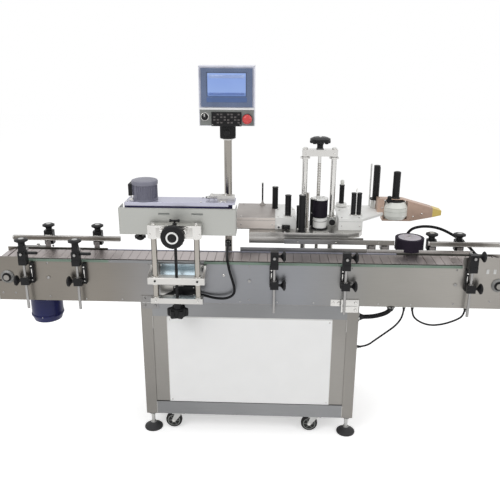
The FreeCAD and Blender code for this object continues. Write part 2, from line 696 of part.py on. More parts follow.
def wrap_stand():
    columns = [f"(wrap_x + {side} * column_spacing / 2)" for side in SIDES]
    half = "(column_spacing / 2 + 21)"
    under_strip = f"{PLATE_TOP} - cap_height * 0.6 - 1"
    bar = block("wrap_x", COLUMN_Y, "bracket_bottom", f"2 * {half}", "bar_depth", "bracket_height")
    arms = [prism("YZ", [
        (f"{COLUMN_Y} - bar_depth / 2", "bracket_bottom"),
        (f"{COLUMN_Y} - bar_depth / 2", "bracket_bottom + bracket_height"),
        (back(-22), under_strip), ("front_face", under_strip),
        ("front_face", "bracket_bottom - 12"), (back(-22), "bracket_bottom - 12"),
    ], f"wrap_x + {side} * ({half} + 5) - 5", 10) for side in SIDES]
    holes = [rod(x, COLUMN_Y, "bracket_bottom", "column_radius + run_clearance", "bracket_height")
             for x in columns]
    holes.append(rod("wrap_x", COLUMN_Y, "bracket_bottom", "screw_radius + run_clearance", "bracket_height"))
    box_low = f"({BAR_TOP} - 22)"
    sheet_low = "(bracket_bottom - 30)"
    mounting = block("wrap_x", back(-1.5), sheet_low, "column_spacing - 14", 3,
                     f"{PLATE_TOP} - 6 - {sheet_low}")
    node("wrap_bracket", cut(join(bar, *arms), *holes), mounting,
         block("wrap_x - 30", back(-12), box_low, 104, 24, 52))

    plate = cut(block("wrap_x", COLUMN_Y, "wrap_bottom", f"2 * {half}", "bar_depth", "wrap_plate"),
                rod("wrap_x", COLUMN_Y, "wrap_bottom", "screw_radius + run_clearance", "wrap_plate"))
    cross = cut(block("wrap_x", COLUMN_Y, "cross_bottom", f"2 * {half}", "bar_depth", "cross_height"),
                rod("wrap_x", COLUMN_Y, "cross_bottom", "screw_radius + run_clearance", 10),
                rod("wrap_x", f"{COLUMN_Y} - bar_depth / 2", "cross_bottom + 22", "5 + run_clearance",
                    "bar_depth", "y"),
                *[rod(f"wrap_x + {side} * guide_spacing / 2", f"{COLUMN_Y} - bar_depth / 2",
                      "cross_bottom + 38", "guide_radius + run_clearance", "bar_depth", "y") for side in SIDES])
    pillars = [rod(x, COLUMN_Y, BAR_TOP, "column_radius", f"cross_bottom - {BAR_TOP}") for x in columns]
    lock = join(rod("wrap_x", COLUMN_Y, "cross_bottom + cross_height", 4, 16),
                rod("wrap_x - 15", COLUMN_Y, "cross_bottom + cross_height + 16", 4.5, 30, "x"))
    node("wrap_lift", plate, cross, lock, *pillars)

    star = []
    for i in range(12):
        reach = "star_radius" if i % 2 == 0 else "(star_radius * 0.72)"
        star.append((f"wrap_x + {reach} * cos({30 * i})", f"{COLUMN_Y} + {reach} * sin({30 * i})"))
    star_low = "(wrap_bottom - star_height - 28)"
    node("lift_star_knob", join(
        prism("XY", star, star_low, "star_height"),
        rod("wrap_x", COLUMN_Y, f"{star_low} + star_height", 15, 27.7),
        rod("wrap_x", COLUMN_Y, star_low, "screw_radius", f"cross_bottom + 9.7 - {star_low}")))


def wrap_head():
    plate_y = f"({COVER_FACE} - 8)"
    guides = [rod(f"wrap_x + {side} * guide_spacing / 2", plate_y, "cross_bottom + 38", "guide_radius", 74,
                  "-y") for side in SIDES]
    mounting = cut(block("wrap_x", f"{plate_y} + 4", "cross_bottom + 8", "guide_spacing + 60", 8, 44),
                   rod("wrap_x", plate_y, "cross_bottom + 22", "5 + run_clearance", 8, "y"))
    length = "(cover_length - 8)"
    inner = f"({COVER_FACE} + cover_thick)"
    base = box("4 - cover_left", inner, "cover_bottom + 2", length, "cover_depth - cover_thick", 10)
    top = box("26 - cover_left", back(-32), "top_plate_bottom", "cover_length - 30", 92, "top_plate")
    for x in (LEFT_PULLEY, RIGHT_PULLEY):
        base = cut(base, rod(x, PULLEY_Y, "cover_bottom + 2", "8 + run_clearance", 10))
        top = cut(top, rod(x, PULLEY_Y, "top_plate_bottom", "8 + run_clearance", 6))
    posts = [rod(f"wrap_x + {side} * 95", PULLEY_Y, "cover_bottom + 12", 10,
                 "top_plate_bottom - cover_bottom - 12") for side in SIDES]
    motor = turned([
        ("0", "0"), ("wrap_motor_radius", "0"), ("wrap_motor_radius", "wrap_motor_height - 8"),
        ("wrap_motor_radius - 7", "wrap_motor_height"), ("0", "wrap_motor_height"),
    ], f"{LEFT_PULLEY} + 48", back(16), "top_plate_bottom + top_plate")
    terminal = box(f"{LEFT_PULLEY} - 12", back(-8), "top_plate_bottom + top_plate + 22", 14, 48, 46)
    tension = block(f"{RIGHT_PULLEY} + 14", back(16), "top_plate_bottom + top_plate", 72, 30, 22)
    tension_screw = rod(f"{RIGHT_PULLEY} - 22", back(16), "top_plate_bottom + top_plate + 11", 5, 34, "-x")
    knob_x = "(80 - cover_left)"
    knob = join(rod(knob_x, back(-18), "cover_bottom - 12", 8, 14),
                dome(knob_x, back(-18), "cover_bottom - 12", 22, "-z"))
    node("wrap_carriage", base, top, mounting, join(motor, terminal), tension, tension_screw, knob,
         *guides, *posts)

    apron = join(
        box("-cover_left", COVER_FACE, "cover_bottom", "cover_length", "cover_thick", "cover_height"),
        box("-cover_left", COVER_FACE, "cover_bottom", "cover_thick", "cover_depth", "cover_height"),
        box("cover_length - cover_left - cover_thick", COVER_FACE, "cover_bottom", "cover_thick",
            "cover_depth", "cover_height"),
        box("-cover_left", COVER_FACE, "cover_bottom + cover_height - cover_thick", "cover_length", 12,
            "cover_thick"))
    slots = [box(f"wrap_x + {x}", COVER_FACE, "cover_bottom + cover_height - 26", 46, "cover_thick", 7)
             for x in (-72, 66)]
    node("wrap_cover", cut(apron, *slots))

    inner = "(pulley_radius + 0.3)"
    low = "(cover_bottom + 17)"
    span = f"({RIGHT_PULLEY} - {LEFT_PULLEY})"
    loops = []
    for radius, start, height in ((f"{inner} + belt_thick", low, "pulley_height + 3"),
                                  (inner, low, "pulley_height + 3")):
        loops.append(join(
            box(LEFT_PULLEY, f"{PULLEY_Y} - ({radius})", start, span, f"2 * ({radius})", height),
            rod(LEFT_PULLEY, PULLEY_Y, start, radius, height),
            rod(RIGHT_PULLEY, PULLEY_Y, start, radius, height)))
    node("wrap_belt", cut(*loops))
    for name, x in (("wrap_drive_pulley", LEFT_PULLEY), ("wrap_idler_pulley", RIGHT_PULLEY)):
        node(name, join(
            rod(x, PULLEY_Y, low, "pulley_radius", "pulley_height"),
            rod(x, PULLEY_Y, "cover_bottom + 4", 8, "top_plate_bottom + 5 - cover_bottom - 4")))
    grip_y = f"({plate_y} - 80)"
    node("depth_knob", join(
        turned([("0", "0"), ("16", "0"), ("16", "6"), ("hand_radius", "6"), ("hand_radius", "hand_height - 5"),
                ("hand_radius - 6", "hand_height"), ("19", "hand_height"), ("19", "hand_height + 5"),
                ("0", "hand_height + 5")], "wrap_x", grip_y, "cross_bottom + 22", "-y"),
        rod("wrap_x", f"{plate_y} + 7", "cross_bottom + 22", 5, 90, "-y")))


STAND_Y = back("stand_back")
BASE_TOP = "(base_bottom + base_thick)"
DECK_TOP = "(housing_top + deck_thick)"
COLUMNS_X = [f"(stand_x + {side} * stand_spacing / 2)" for side in SIDES]


def label_stand():
    foot_top = f"({PLATE_BOTTOM} + 14)"
    pillars = [rod(x, STAND_Y, foot_top, "stand_radius", f"stand_top - cross_thick - {foot_top}")
               for x in COLUMNS_X]
    head = cut(block("stand_x", STAND_Y, "stand_top - cross_thick", "stand_spacing + 30", 42, "cross_thick"),
               rod("stand_x", STAND_Y, "stand_top - cross_thick", "8 + run_clearance", "cross_thick"))
    node("label_stand", block("stand_x", STAND_Y, PLATE_BOTTOM, "stand_spacing + 90", 96, 14), head, *pillars)
    wheel_low = "(stand_top + wheel_gap)"
    node("lift_handwheel", join(
        turned([("0", "0"), ("14", "0"), ("14", "wheel_gap * 0.5"), ("22", "wheel_gap - 6"),
                ("lift_wheel_radius", "wheel_gap"),
                ("lift_wheel_radius", "wheel_gap + lift_wheel_height * 0.6"),
                ("lift_wheel_radius * 0.7", "wheel_gap + lift_wheel_height"),
                ("0", "wheel_gap + lift_wheel_height")], "stand_x", STAND_Y, "stand_top + 0.3"),
        rod("stand_x", STAND_Y, f"{foot_top} + 0.3", 8, f"{wheel_low} - {foot_top}")))


def roller(name, x, y, low, top, radius, pins):
    """A free sleeve on a fixed pin."""
    pins.append(rod(x, y, low, "pin_radius", f"({top}) + 4 - ({low})"))
    node(name, cut(rod(x, y, f"{low} + 0.3", radius, f"{top} - ({low})"),
                   rod(x, y, f"{low}", "pin_radius + run_clearance", f"{top} + 2 - ({low})")))


def label_head():
    y_front = back("base_front")
    y_back = back("base_front + base_depth")
    base = prism("XY", [
        ("base_left", y_front), ("base_right - 70", y_front), ("base_right - 18", f"{y_front} + 16"),
        ("base_right", f"{y_front} + 52"), ("base_right", y_back), ("base_left", y_back),
    ], "base_bottom", "base_thick")
    passes = [rod(x, STAND_Y, "base_bottom", "stand_radius + run_clearance", "base_thick + 40")
              for x in COLUMNS_X]
    passes.append(rod("stand_x", STAND_Y, "base_bottom", "8 + run_clearance", "base_thick + 40"))
    bushes = [rod(x, STAND_Y, BASE_TOP, "stand_radius + 9", 40) for x in COLUMNS_X]
    bushes.append(rod("stand_x", STAND_Y, BASE_TOP, 18, 40))
    beam = cut(join(base, *bushes), *passes)
    pins = []
    drum_x = "(stand_x + 7)"
    drum_y = back("head_front + 34")
    roller("tall_roller", "(stand_x - 78)", back("base_front + 15"), BASE_TOP, f"({BASE_TOP} + 172)",
           "roller_radius + 1", pins)
    nip = "(roller_radius - 5)"
    reach = f"(drum_radius + {nip} + 0.3)"
    roller("nip_roller", f"({drum_x} - {reach} * cos(32))", f"({drum_y} + {reach} * sin(32))", BASE_TOP,
           f"({BASE_TOP} + 135)", nip, pins)
    posts = [rod("stand_x - 52", back("head_front + 8"), BASE_TOP, 6, 170),
             rod("stand_x - 90", back("head_front + 24"), BASE_TOP, 11, 106)]
    drum_seat = cut(rod(drum_x, drum_y, BASE_TOP, "drum_radius - 2", 54),
                    rod(drum_x, drum_y, BASE_TOP, "9 + run_clearance", 54))
    for x, y, tall, radius in (("base_right - 38", 66, 105, 11), ("base_right - 12", 66, 105, 11),
                               ("head_left + 104", 228, 110, 4), ("head_left + 226", 35, 98, 14),
                               ("stand_x + 123", 220, 107, 12)):
        posts.append(rod(x, back(f"head_front + {y}"), DECK_TOP, radius, tall))
    node("label_base", beam, drum_seat, *pins, *posts)
    node("drive_drum", join(
        rod(drum_x, drum_y, f"{BASE_TOP} + 54.3", "drum_radius", 83),
        rod(drum_x, drum_y, f"{BASE_TOP} + 137.3", "drum_radius + 1", 7),
        rod(drum_x, drum_y, f"{BASE_TOP} + 4", 9, 60)))

    left_end = "(stand_x - 103)"
    right_start = "(stand_x + 92)"
    height = f"housing_top - {BASE_TOP}"
    housings = [
        box("head_left", back("head_front"), BASE_TOP, f"{left_end} - head_left", 150, height),
        box(right_start, back("head_front"), BASE_TOP, f"base_right - {right_start}", 150, height),
    ]
    pins = []
    roller("infeed_roller", "(head_left + 166)", back("head_front + 167"), DECK_TOP, f"({DECK_TOP} + 106)",
           "roller_radius", pins)
    decks = [
        prism("XY", [("head_left", back("head_front")), (left_end, back("head_front")),
                     (left_end, back("head_front + 150")),
                     (f"{left_end} - 30", back("head_front + head_depth")),
                     ("head_left", back("head_front + head_depth"))], "housing_top", "deck_thick"),
        prism("XY", [(right_start, back("head_front")), ("base_right", back("head_front")),
                     ("base_right + 108", back("head_front + 110")),
                     ("base_right + 108", back("head_front + head_depth")),
                     (right_start, back("head_front + head_depth"))], "housing_top", "deck_thick"),
    ]
    seat = ("(base_right + 82)", back("head_front + 203"))
    post = cut(rod(*seat, DECK_TOP, 22, 42), rod(*seat, DECK_TOP, "8 + run_clearance", 42))
    thin = rod("(base_right + 59)", back("head_front + 232"), DECK_TOP, 4, 210)
    node("label_deck", *housings, *decks, post, thin, *pins)
    node("rewind_spindle", join(
        rod(*seat, f"{DECK_TOP} + 42.3", 26, 6),
        rod(*seat, f"{DECK_TOP} + 48.3", 15, 158),
        rod(*seat, f"{DECK_TOP} + 4", 8, 50)))

    hub_x = "(base_right + 169)"
    hub_y = back("head_front + 150")
    hub_low = "(housing_top - 22)"
    bore = rod(hub_x, hub_y, hub_low, "9 + run_clearance", 100)
    hub = cut(turned([("0", "0"), ("hub_radius * 0.8", "0"), ("hub_radius", "18"), ("hub_radius", "58"),
                      ("hub_radius * 0.78", "82"), ("0", "82")], hub_x, hub_y, hub_low), bore)
    arm = prism("XZ", [
        ("base_right + 83", DECK_TOP), ("base_right + 108", DECK_TOP), ("base_right + 108", f"{hub_low} - 9"),
        ("base_right + 240", f"{hub_low} - 9"),
        ("base_right + 343", f"{hub_low} + 12"), ("base_right + 343", f"{hub_low} + 56"),
        ("base_right + 198", f"{hub_low} + 96"), ("base_right + 83", f"{hub_low} + 96"),
    ], back("head_front + 125"), 50)
    arm = cut(arm, rod(hub_x, hub_y, hub_low, "hub_radius", 110))
    tip = prism("XZ", [
        ("base_right + 343", f"{hub_low} + 12"), ("base_right + 384", f"{hub_low} + 22"),
        ("base_right + 384", f"{hub_low} + 44"), ("base_right + 343", f"{hub_low} + 56"),
    ], back("head_front + 125"), 50)
    node("unwind_arm", arm, tip)
    node("unwind_hub", hub)
    node("unwind_spindle", join(
        rod(hub_x, hub_y, f"{hub_low} + 82.3", 41, 8),
        taper(hub_x, hub_y, f"{hub_low} + 90.3", 26, "spindle_radius", 14),
        rod(hub_x, hub_y, f"{hub_low} + 90.3", "spindle_radius", 132),
        rod(hub_x, hub_y, f"{hub_low} + 6", 9, 80)))


def knob(x, y, z, axis, radius="knob_radius"):
    """A clamp knob with its neck, standing on a face."""
    return turned([
        ("0", "0"), ("6", "0"), ("6", "8"), (f"{radius} * 0.42", "12"), (f"{radius}", "21"),
        (f"{radius}", "27"), (f"{radius} * 0.7", "31"), ("0", "31"),
    ], x, y, z, axis)


def front_brackets():
    """Rods on the front plate, each with a clamp below and a cross clamp above the belt."""
    posts = []
    clamps = []
    y = back("0 - post_front")
    low = "(belt_height - 104)"
    block_low = "(belt_height - 13)"
    bore = "post_radius + run_clearance"
    depth = "(post_front - 15)"
    for x, right in (("(141 - plate_reach)", False), ("(371 - plate_reach)", False), ("post_middle", True),
                     ("post_right", True), ("(plate_reach - 175)", True)):
        rod_z = f"({PLATE_TOP} + right_raise + 12)" if "- 175" in x else "(belt_height + 39)"
        posts.append(rod(x, y, "belt_height - 216", "post_radius", f"{rod_z} - 13 + 216 - belt_height"))
        posts.append(rod(x, back("0 - post_front - 24"), rod_z, "post_radius", 82, "y"))
        clamps.append(cut(block(f"{x} + 1", y, low, 36, 30, 34), rod(x, y, low, bore, 34)))
        tall = 78 if right else 62
        body = block(x, y, block_low, 34, 30, tall)
        body = cut(body, rod(x, y, block_low, bore, f"{rod_z} - 13 - {block_low}"),
                   rod(x, f"{y} - 15", rod_z, bore, 30, "y"))
        bar_x = f"{x} - 12" if right else f"{x} + 24"
        clamps.append(block(bar_x, back(f"0 - {depth} / 2"), low, 16, depth, 92))
        if right:
            clamps += [body, knob(f"{x} + 19", y, f"{low} + 16", "x"),
                       knob(f"{x} + 17", y, f"{rod_z} + 4", "x")]
        else:
            stem = block(x, y, f"{block_low} + {tall}", 26, 24, 24)
            lever = box(f"{x} + 17", f"{y} - 6", f"{block_low} + 48", 40, 12, 10)
            clamps += [join(body, stem, lever), knob(f"{x} - 17", y, f"{low} + 16", "-x"),
                       knob(x, y, f"{block_low} + {tall + 24}", "z", "(knob_radius + 6)")]
    node("bracket_clamps", *clamps)
    return posts


def rear_guides(front_posts):
    supports = []
    rail_z = "(belt_height + rail_height_above_belt)"
    pad = "(cap_width - plate_thick) / 2"
    post_y = f"({BACK_FACE} + {pad})"
    pad_low = f"({PLATE_TOP} - 90)"
    rod_z = f"({rail_z} - 22)"
    rows = (("left_guide_rail", ("(185 - plate_reach)", "(410 - plate_reach)"), "(25 - plate_reach)", 493, 63),
            ("centre_guide_rail", (540, 600), 150, 490, 33),
            ("right_guide_rail", ("(plate_reach - 302)", "(plate_reach - 180)"), "(plate_reach - 310)", 305, 47))
    for name, places, start, length, clamp_height in rows:
        rail_y = back("guide_line - guide_bar")
        pieces = [box(start, rail_y, f"{rail_z} - 10", length, "guide_bar", 20)]
        for x in places:
            supports.append(join(
                box(f"{x} - 12", BACK_FACE, pad_low, 24, pad, 60),
                box(f"{x} - 12", post_y, pad_low, 24, 5, f"{rod_z} + 7 - {pad_low}"),
                rod(x, f"{post_y} + 5", rod_z, "post_radius", 68, "y")))
            body = block(x, back("guide_line + 15"), f"{rod_z} - 11", 40, 30, clamp_height)
            pieces.append(cut(body, rod(x, back("guide_line"), rod_z, "post_radius + run_clearance", 30, "y")))
            if name != "centre_guide_rail":
                pieces.append(knob(x, back("guide_line + 15"), f"{rod_z} - 11 + {clamp_height}", "z",
                                   "(knob_radius + 5)"))
        if name != "centre_guide_rail":
            node(name, *pieces)
        else:
            supports += pieces
    arm_z = "(belt_height - 34)"
    x = "separator_x"
    y = back("separator_back")
    supports.append(join(
        box(f"{x} - 26", BACK_FACE, pad_low, 52, pad, 60),
        box(f"{x} - 26", post_y, pad_low, 52, 5, 72),
        box(f"{x} - 26", post_y, arm_z, 52, "separator_back - conveyor_width + 30", 14),
        rod(x, y, f"{arm_z} + 14", 14, 24), rod(x, y, f"{arm_z} + 14", 8, 75)))
    supports.append(rod(x, y, f"{arm_z} - 84", 36, 84))
    node("guide_posts", *front_posts, *supports)
    node("separator_wheel", cut(
        turned([("0", "0"), ("separator_radius", "0"), ("separator_radius", "48"),
                ("separator_radius - 6", "54"), ("0", "54")], x, y, f"{arm_z} + 40.3"),
        rod(x, y, arm_z, "8 + run_clearance", 91)))


# Each cable's diameter and the corners of its route, in millimetres, +Y from the front plate's face.
CABLES = {
    "wrap_cable": (11, (
        (-103, 168, 880), (-103, 128, 880), (-102, 80, 870), (-99, 30, 868), (-93, -18, 860), (-82, -34, 815),
        (-66, -34, 765), (-60, -30, 718), (-95, -26, 692), (-145, -20, 690), (-195, -14, 700),
        (-240, -12, 712), (-281, -12, 712))),
    "separator_cable": (13, (
        (716, 241, 823), (716, 288, 823), (712, 293, 873), (733, 288, 925), (785, 272, 945), (850, 262, 942),
        (910, 249, 918), (975, 221, 880), (1015, 195, 838), (1015, 150, 838))),
    "cable_bundle": (20, (
        (480, 20, 598), (520, 20, 598), (560, 15, 606), (600, 12, 622), (617, 10.5, 640), (617, 10.5, 657))),
    "drop_cable": (8, (
        (675, 12, 657), (675, 12, 612), (650, 14, 565), (612, 16, 530), (566, 19, 490), (522, 22, 450),
        (480, 22, 450))),
    "loop_cable": (8, (
        (711, 12, 657), (711, 12, 615), (745, 12, 583), (795, 12, 566), (850, 12, 573), (900, 12, 592),
        (938, 12, 617), (938, 12, 657))),
}


def cable(name, diameter, corners):
    """Straight runs joined by tangent arcs, swept by the cable's round section."""
    route = [V(x, size("front_face") + y, z) for x, y, z in corners]
    edges = []
    radii = []
    start = route[0]
    for before, corner, after in zip(route, route[1:], route[2:]):
        reach = 0.45 * min((corner - before).Length, (after - corner).Length)
        inward = V(corner - before).normalize()
        outward = V(after - corner).normalize()
        half_turn = inward.getAngle(outward) / 2
        radius = reach / math.tan(half_turn)
        toward = V(outward - inward).normalize()
        middle = corner + toward * (radius / math.cos(half_turn) - radius)
        edges.append(Part.LineSegment(start, corner - inward * reach).toShape())
        edges.append(Part.Arc(corner - inward * reach, middle, corner + outward * reach).toShape())
        start = corner + outward * reach
        radii.append(round(radius, 1))
    edges.append(Part.LineSegment(start, route[-1]).toShape())
    path = Part.Wire(edges)
    section = Part.Wire(Part.makeCircle(diameter / 2, route[0], route[1] - route[0]))
    body = doc.addObject("Part::Feature", name)
    body.Shape = path.makePipeShell([section], True, False)
    expected = math.pi * diameter ** 2 / 4 * path.Length
    if abs(body.Shape.Volume / expected - 1) > 0.002:
        raise RuntimeError(name + " is not a plain tube")
    print(name, "length", round(path.Length, 1), "bend radii", radii)
    node(name, body)


def write_parts():
    doc.recompute()
    faults = [part.Name for part in doc.Objects if "Invalid" in part.State or "Error" in part.State]
    faults += [part.Label for part in NODES if part.Shape.isNull() or not part.Shape.isValid()]
    if faults:
        raise RuntimeError("failed: " + ", ".join(faults))
    os.makedirs("parts", exist_ok=True)
    whole = FreeCAD.BoundBox()
    for part in NODES:
        part.Shape.exportStep(f"parts/{part.Label}.step")
        whole.add(part.Shape.BoundBox)
        print(part.Label, len(part.Shape.Solids), round(part.Shape.Volume))
    print(len(NODES), "nodes", whole)


side_plates()
conveyor_hardware()
wear_strips()
slat_chain()
shafts()
gear_motor()
cabinet()
casters()
door()
electrical_panel()
touch_panel()
wrap_stand()
wrap_head()
label_stand()
label_head()
rear_guides(front_brackets())
for title, (thickness, way) in CABLES.items():
    cable(title, thickness, way)
write_parts()
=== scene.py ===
"""Looks of the wrap around labeling machine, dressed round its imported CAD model. Metres."""
import math

import bmesh
import bpy
from mathutils import Matrix, Vector


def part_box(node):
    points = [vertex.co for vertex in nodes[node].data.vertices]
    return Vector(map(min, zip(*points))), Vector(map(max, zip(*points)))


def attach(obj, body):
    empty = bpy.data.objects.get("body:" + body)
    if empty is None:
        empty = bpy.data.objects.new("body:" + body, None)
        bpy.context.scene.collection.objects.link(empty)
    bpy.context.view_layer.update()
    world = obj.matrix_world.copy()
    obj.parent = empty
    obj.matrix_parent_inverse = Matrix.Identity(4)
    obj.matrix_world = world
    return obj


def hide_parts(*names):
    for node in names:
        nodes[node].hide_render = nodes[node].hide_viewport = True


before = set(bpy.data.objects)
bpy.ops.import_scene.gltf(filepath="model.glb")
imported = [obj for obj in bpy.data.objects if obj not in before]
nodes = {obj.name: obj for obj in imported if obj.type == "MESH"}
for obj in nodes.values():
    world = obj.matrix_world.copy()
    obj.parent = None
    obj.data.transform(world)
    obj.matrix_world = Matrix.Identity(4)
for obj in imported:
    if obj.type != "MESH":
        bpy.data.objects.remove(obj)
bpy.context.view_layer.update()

PLATE_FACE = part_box("front_side_plate")[0].y


def at(x, y, z):
    """A point in metres from millimetres, with y counted back from the conveyor's front plate."""
    return Vector((x / 1000, PLATE_FACE + y / 1000, z / 1000))


# Camera, solved from the photograph's straight edges
CAMERA_PLACE = at(103.8, -2529.2, 1776.5)
PITCH = 18.945
YAW = 2.300
ROLL = 0.2015
LENS = 45.3


def add_camera():
    data = bpy.data.cameras.new("camera")
    data.lens = LENS
    data.sensor_width = 36
    data.clip_end = 50
    camera = bpy.data.objects.new("camera", data)
    bpy.context.scene.collection.objects.link(camera)
    turn = (Matrix.Rotation(math.radians(YAW), 4, "Z") @ Matrix.Rotation(math.radians(90 - PITCH), 4, "X")
            @ Matrix.Rotation(math.radians(ROLL), 4, "Z"))
    camera.matrix_world = Matrix.Translation(CAMERA_PLACE) @ turn
    bpy.context.scene.camera = camera


# Materials


class Nodes:
    """A material's node tree, with short calls for the nodes used here."""

    def __init__(self, name, colour, metal=0.0, rough=0.5, coat=0.0):
        self.material = bpy.data.materials.new(name)
        self.material.use_nodes = True
        self.tree = self.material.node_tree
        self.shader = self.tree.nodes["Principled BSDF"]
        self.shader.inputs["Base Color"].default_value = (*colour, 1)
        self.shader.inputs["Metallic"].default_value = metal
        self.shader.inputs["Roughness"].default_value = rough
        self.shader.inputs["Coat Weight"].default_value = coat
        self.colour = None
        self.place = None

    def add(self, kind, **values):
        made = self.tree.nodes.new(kind)
        for key, value in values.items():
            if key in made.inputs:
                made.inputs[key].default_value = value
            else:
                setattr(made, key, value)
        return made

    def join(self, source, target):
        self.tree.links.new(source, target)
        return source

    def spot(self):
        """The surface point in object coordinates."""
        if self.place is None:
            self.place = self.add("ShaderNodeTexCoord").outputs["Object"]
        return self.place

    def scaled(self, scale):
        mapping = self.add("ShaderNodeMapping")
        mapping.inputs["Scale"].default_value = scale
        self.join(self.spot(), mapping.inputs["Vector"])
        return mapping.outputs["Vector"]

    def noise(self, scale, detail=3.0, stretch=(1, 1, 1)):
        made = self.add("ShaderNodeTexNoise", Scale=scale, Detail=detail)
        self.join(self.scaled(stretch), made.inputs["Vector"])
        return made.outputs["Fac"]

    def ramp(self, source, stops):
        made = self.add("ShaderNodeValToRGB")
        band = made.color_ramp
        while len(band.elements) < len(stops):
            band.elements.new(0.5)
        for element, (spot, value) in zip(band.elements, stops):
            element.position = spot
            element.color = (value, value, value, 1) if isinstance(value, (int, float)) else (*value, 1)
        self.join(source, made.inputs["Fac"])
        return made.outputs["Color"]

    def span(self, source, low, high, start=0.0, end=1.0):
        made = self.add("ShaderNodeMapRange")
        made.inputs["From Min"].default_value = start
        made.inputs["From Max"].default_value = end
        made.inputs["To Min"].default_value = low
        made.inputs["To Max"].default_value = high
        self.join(source, made.inputs["Value"])
        return made.outputs["Result"]

    def along(self, axis):
        """The object coordinate along x, y or z."""
        made = self.add("ShaderNodeSeparateXYZ")
        self.join(self.spot(), made.inputs["Vector"])
        return made.outputs[axis.upper()]

    def mix(self, factor, below, above, blend="MIX"):
        made = self.add("ShaderNodeMix", data_type="RGBA", blend_type=blend)
        for source, key in ((factor, 0), (below, 6), (above, 7)):
            if isinstance(source, bpy.types.NodeSocket):
                self.join(source, made.inputs[key])
            elif key:
                made.inputs[key].default_value = (*source, 1)
            else:
                made.inputs[key].default_value = source
        return made.outputs[2]

    def paint(self, source):
        self.colour = source
        self.join(source, self.shader.inputs["Base Color"])

    def tint(self, source, dark, light):
        self.paint(self.ramp(source, [(0.3, dark), (0.7, light)]))

    def roughen(self, source, low, high):
        self.join(self.span(source, low, high), self.shader.inputs["Roughness"])

    def bump(self, source, strength, distance=0.001, edge=0.0):
        made = self.add("ShaderNodeBump", Strength=strength, Distance=distance)
        self.join(source, made.inputs["Height"])
        if edge:
            self.join(self.edge(edge), made.inputs["Normal"])
        self.join(made.outputs["Normal"], self.shader.inputs["Normal"])

    def edge(self, radius):
        return self.add("ShaderNodeBevel", samples=4, Radius=radius).outputs["Normal"]

    def paint_edge_highlight(self, bright, radius=0.0015, amount=0.8):
        """Painted highlight: lighter edges where the rounded normal leaves the true one, broken into patches by noise.
        """
        dot = self.add("ShaderNodeVectorMath", operation="DOT_PRODUCT")
        self.join(self.edge(radius), dot.inputs[0])
        self.join(self.add("ShaderNodeNewGeometry").outputs["Normal"], dot.inputs[1])
        highlight_mask = self.add("ShaderNodeMath", operation="MULTIPLY")
        self.join(self.span(dot.outputs["Value"], amount, 0.0, 0.90, 0.995), highlight_mask.inputs[0])
        self.join(self.span(self.noise(60, 3), 0, 1, 0.35, 0.6), highlight_mask.inputs[1])
        self.paint(self.mix(highlight_mask.outputs[0], self.colour, bright))


def shade(colour, factor):
    return tuple(min(1.0, c * factor) for c in colour)


def brushed(name, colour, along="x", rough=0.32, spread=0.12, metal=1.0, reflection_bands=()):
    """Sheet steel with a fine grain along one axis, faint broad stains and smears, and a painted highlight along its
    edges; when a ramp is given, a painted reflection tints it along x.
    """
    made = Nodes(name, colour, metal=metal, rough=rough)
    stretch = {"x": (2, 160, 160), "z": (160, 160, 2), "y": (160, 2, 160)}[along]
    grain = made.noise(9, 4, stretch)
    cloud = made.noise(2.2, 2)
    mixed = made.add("ShaderNodeMath", operation="ADD")
    made.join(made.span(grain, -0.16, 0.16), mixed.inputs[0])
    made.join(cloud, mixed.inputs[1])
    made.tint(mixed.outputs[0], shade(colour, 1 - spread), shade(colour, 1 + spread))
    # painted reflection: the steel's colour multiplied by a tint that changes along x
    if reflection_bands:
        broad = made.ramp(made.span(made.along("x"), 0, 1, -1.11, 1.11), reflection_bands)
        made.paint(made.mix(1.0, made.colour, broad, "MULTIPLY"))
    # painted highlight along the edges, half again as light as the steel
    made.paint_edge_highlight(shade(colour, 1.5), 0.0012, 0.5)
    made.roughen(grain, rough - 0.07, rough + 0.09)
    made.bump(grain, 0.05, 0.0004, edge=0.0012)
    return made.material


def cast(name, colour, rough=0.45, metal=0.0, grit=0.12, coat=0.0, scale=420, highlight_colour=None, spread=0.1, shine=0.5):
    """Paint, plastic or plain metal with a fine grit and a soft painted highlight along its edges."""
    made = Nodes(name, colour, metal=metal, rough=rough, coat=coat)
    made.shader.inputs["Specular IOR Level"].default_value = shine
    grain = made.noise(scale, 3)
    made.tint(made.noise(14, 3), shade(colour, 1 - spread), shade(colour, 1 + spread))
    # painted highlight on the edges: the given colour, else the paint made half again as light
    made.paint_edge_highlight(highlight_colour or shade(colour, 1.5), amount=0.6)
    made.roughen(grain, rough - 0.08, rough + 0.08)
    made.bump(grain, grit, 0.0005, edge=0.0015)
    return made.material


def knurled(name, colour, rough=0.4):
    """Black moulded plastic with a fine upright ribbing."""
    made = Nodes(name, colour, rough=rough)
    made.shader.inputs["Specular IOR Level"].default_value = 0.22
    made.tint(made.noise(14, 3), shade(colour, 0.85), shade(colour, 1.2))
    # painted highlight along the edges, a dark grey
    made.paint_edge_highlight((0.08, 0.08, 0.08), amount=0.5)
    made.roughen(made.noise(90, 3), rough - 0.1, rough + 0.12)
    made.bump(made.noise(30, 2, (40, 40, 1)), 0.25, 0.0005, edge=0.0012)
    return made.material


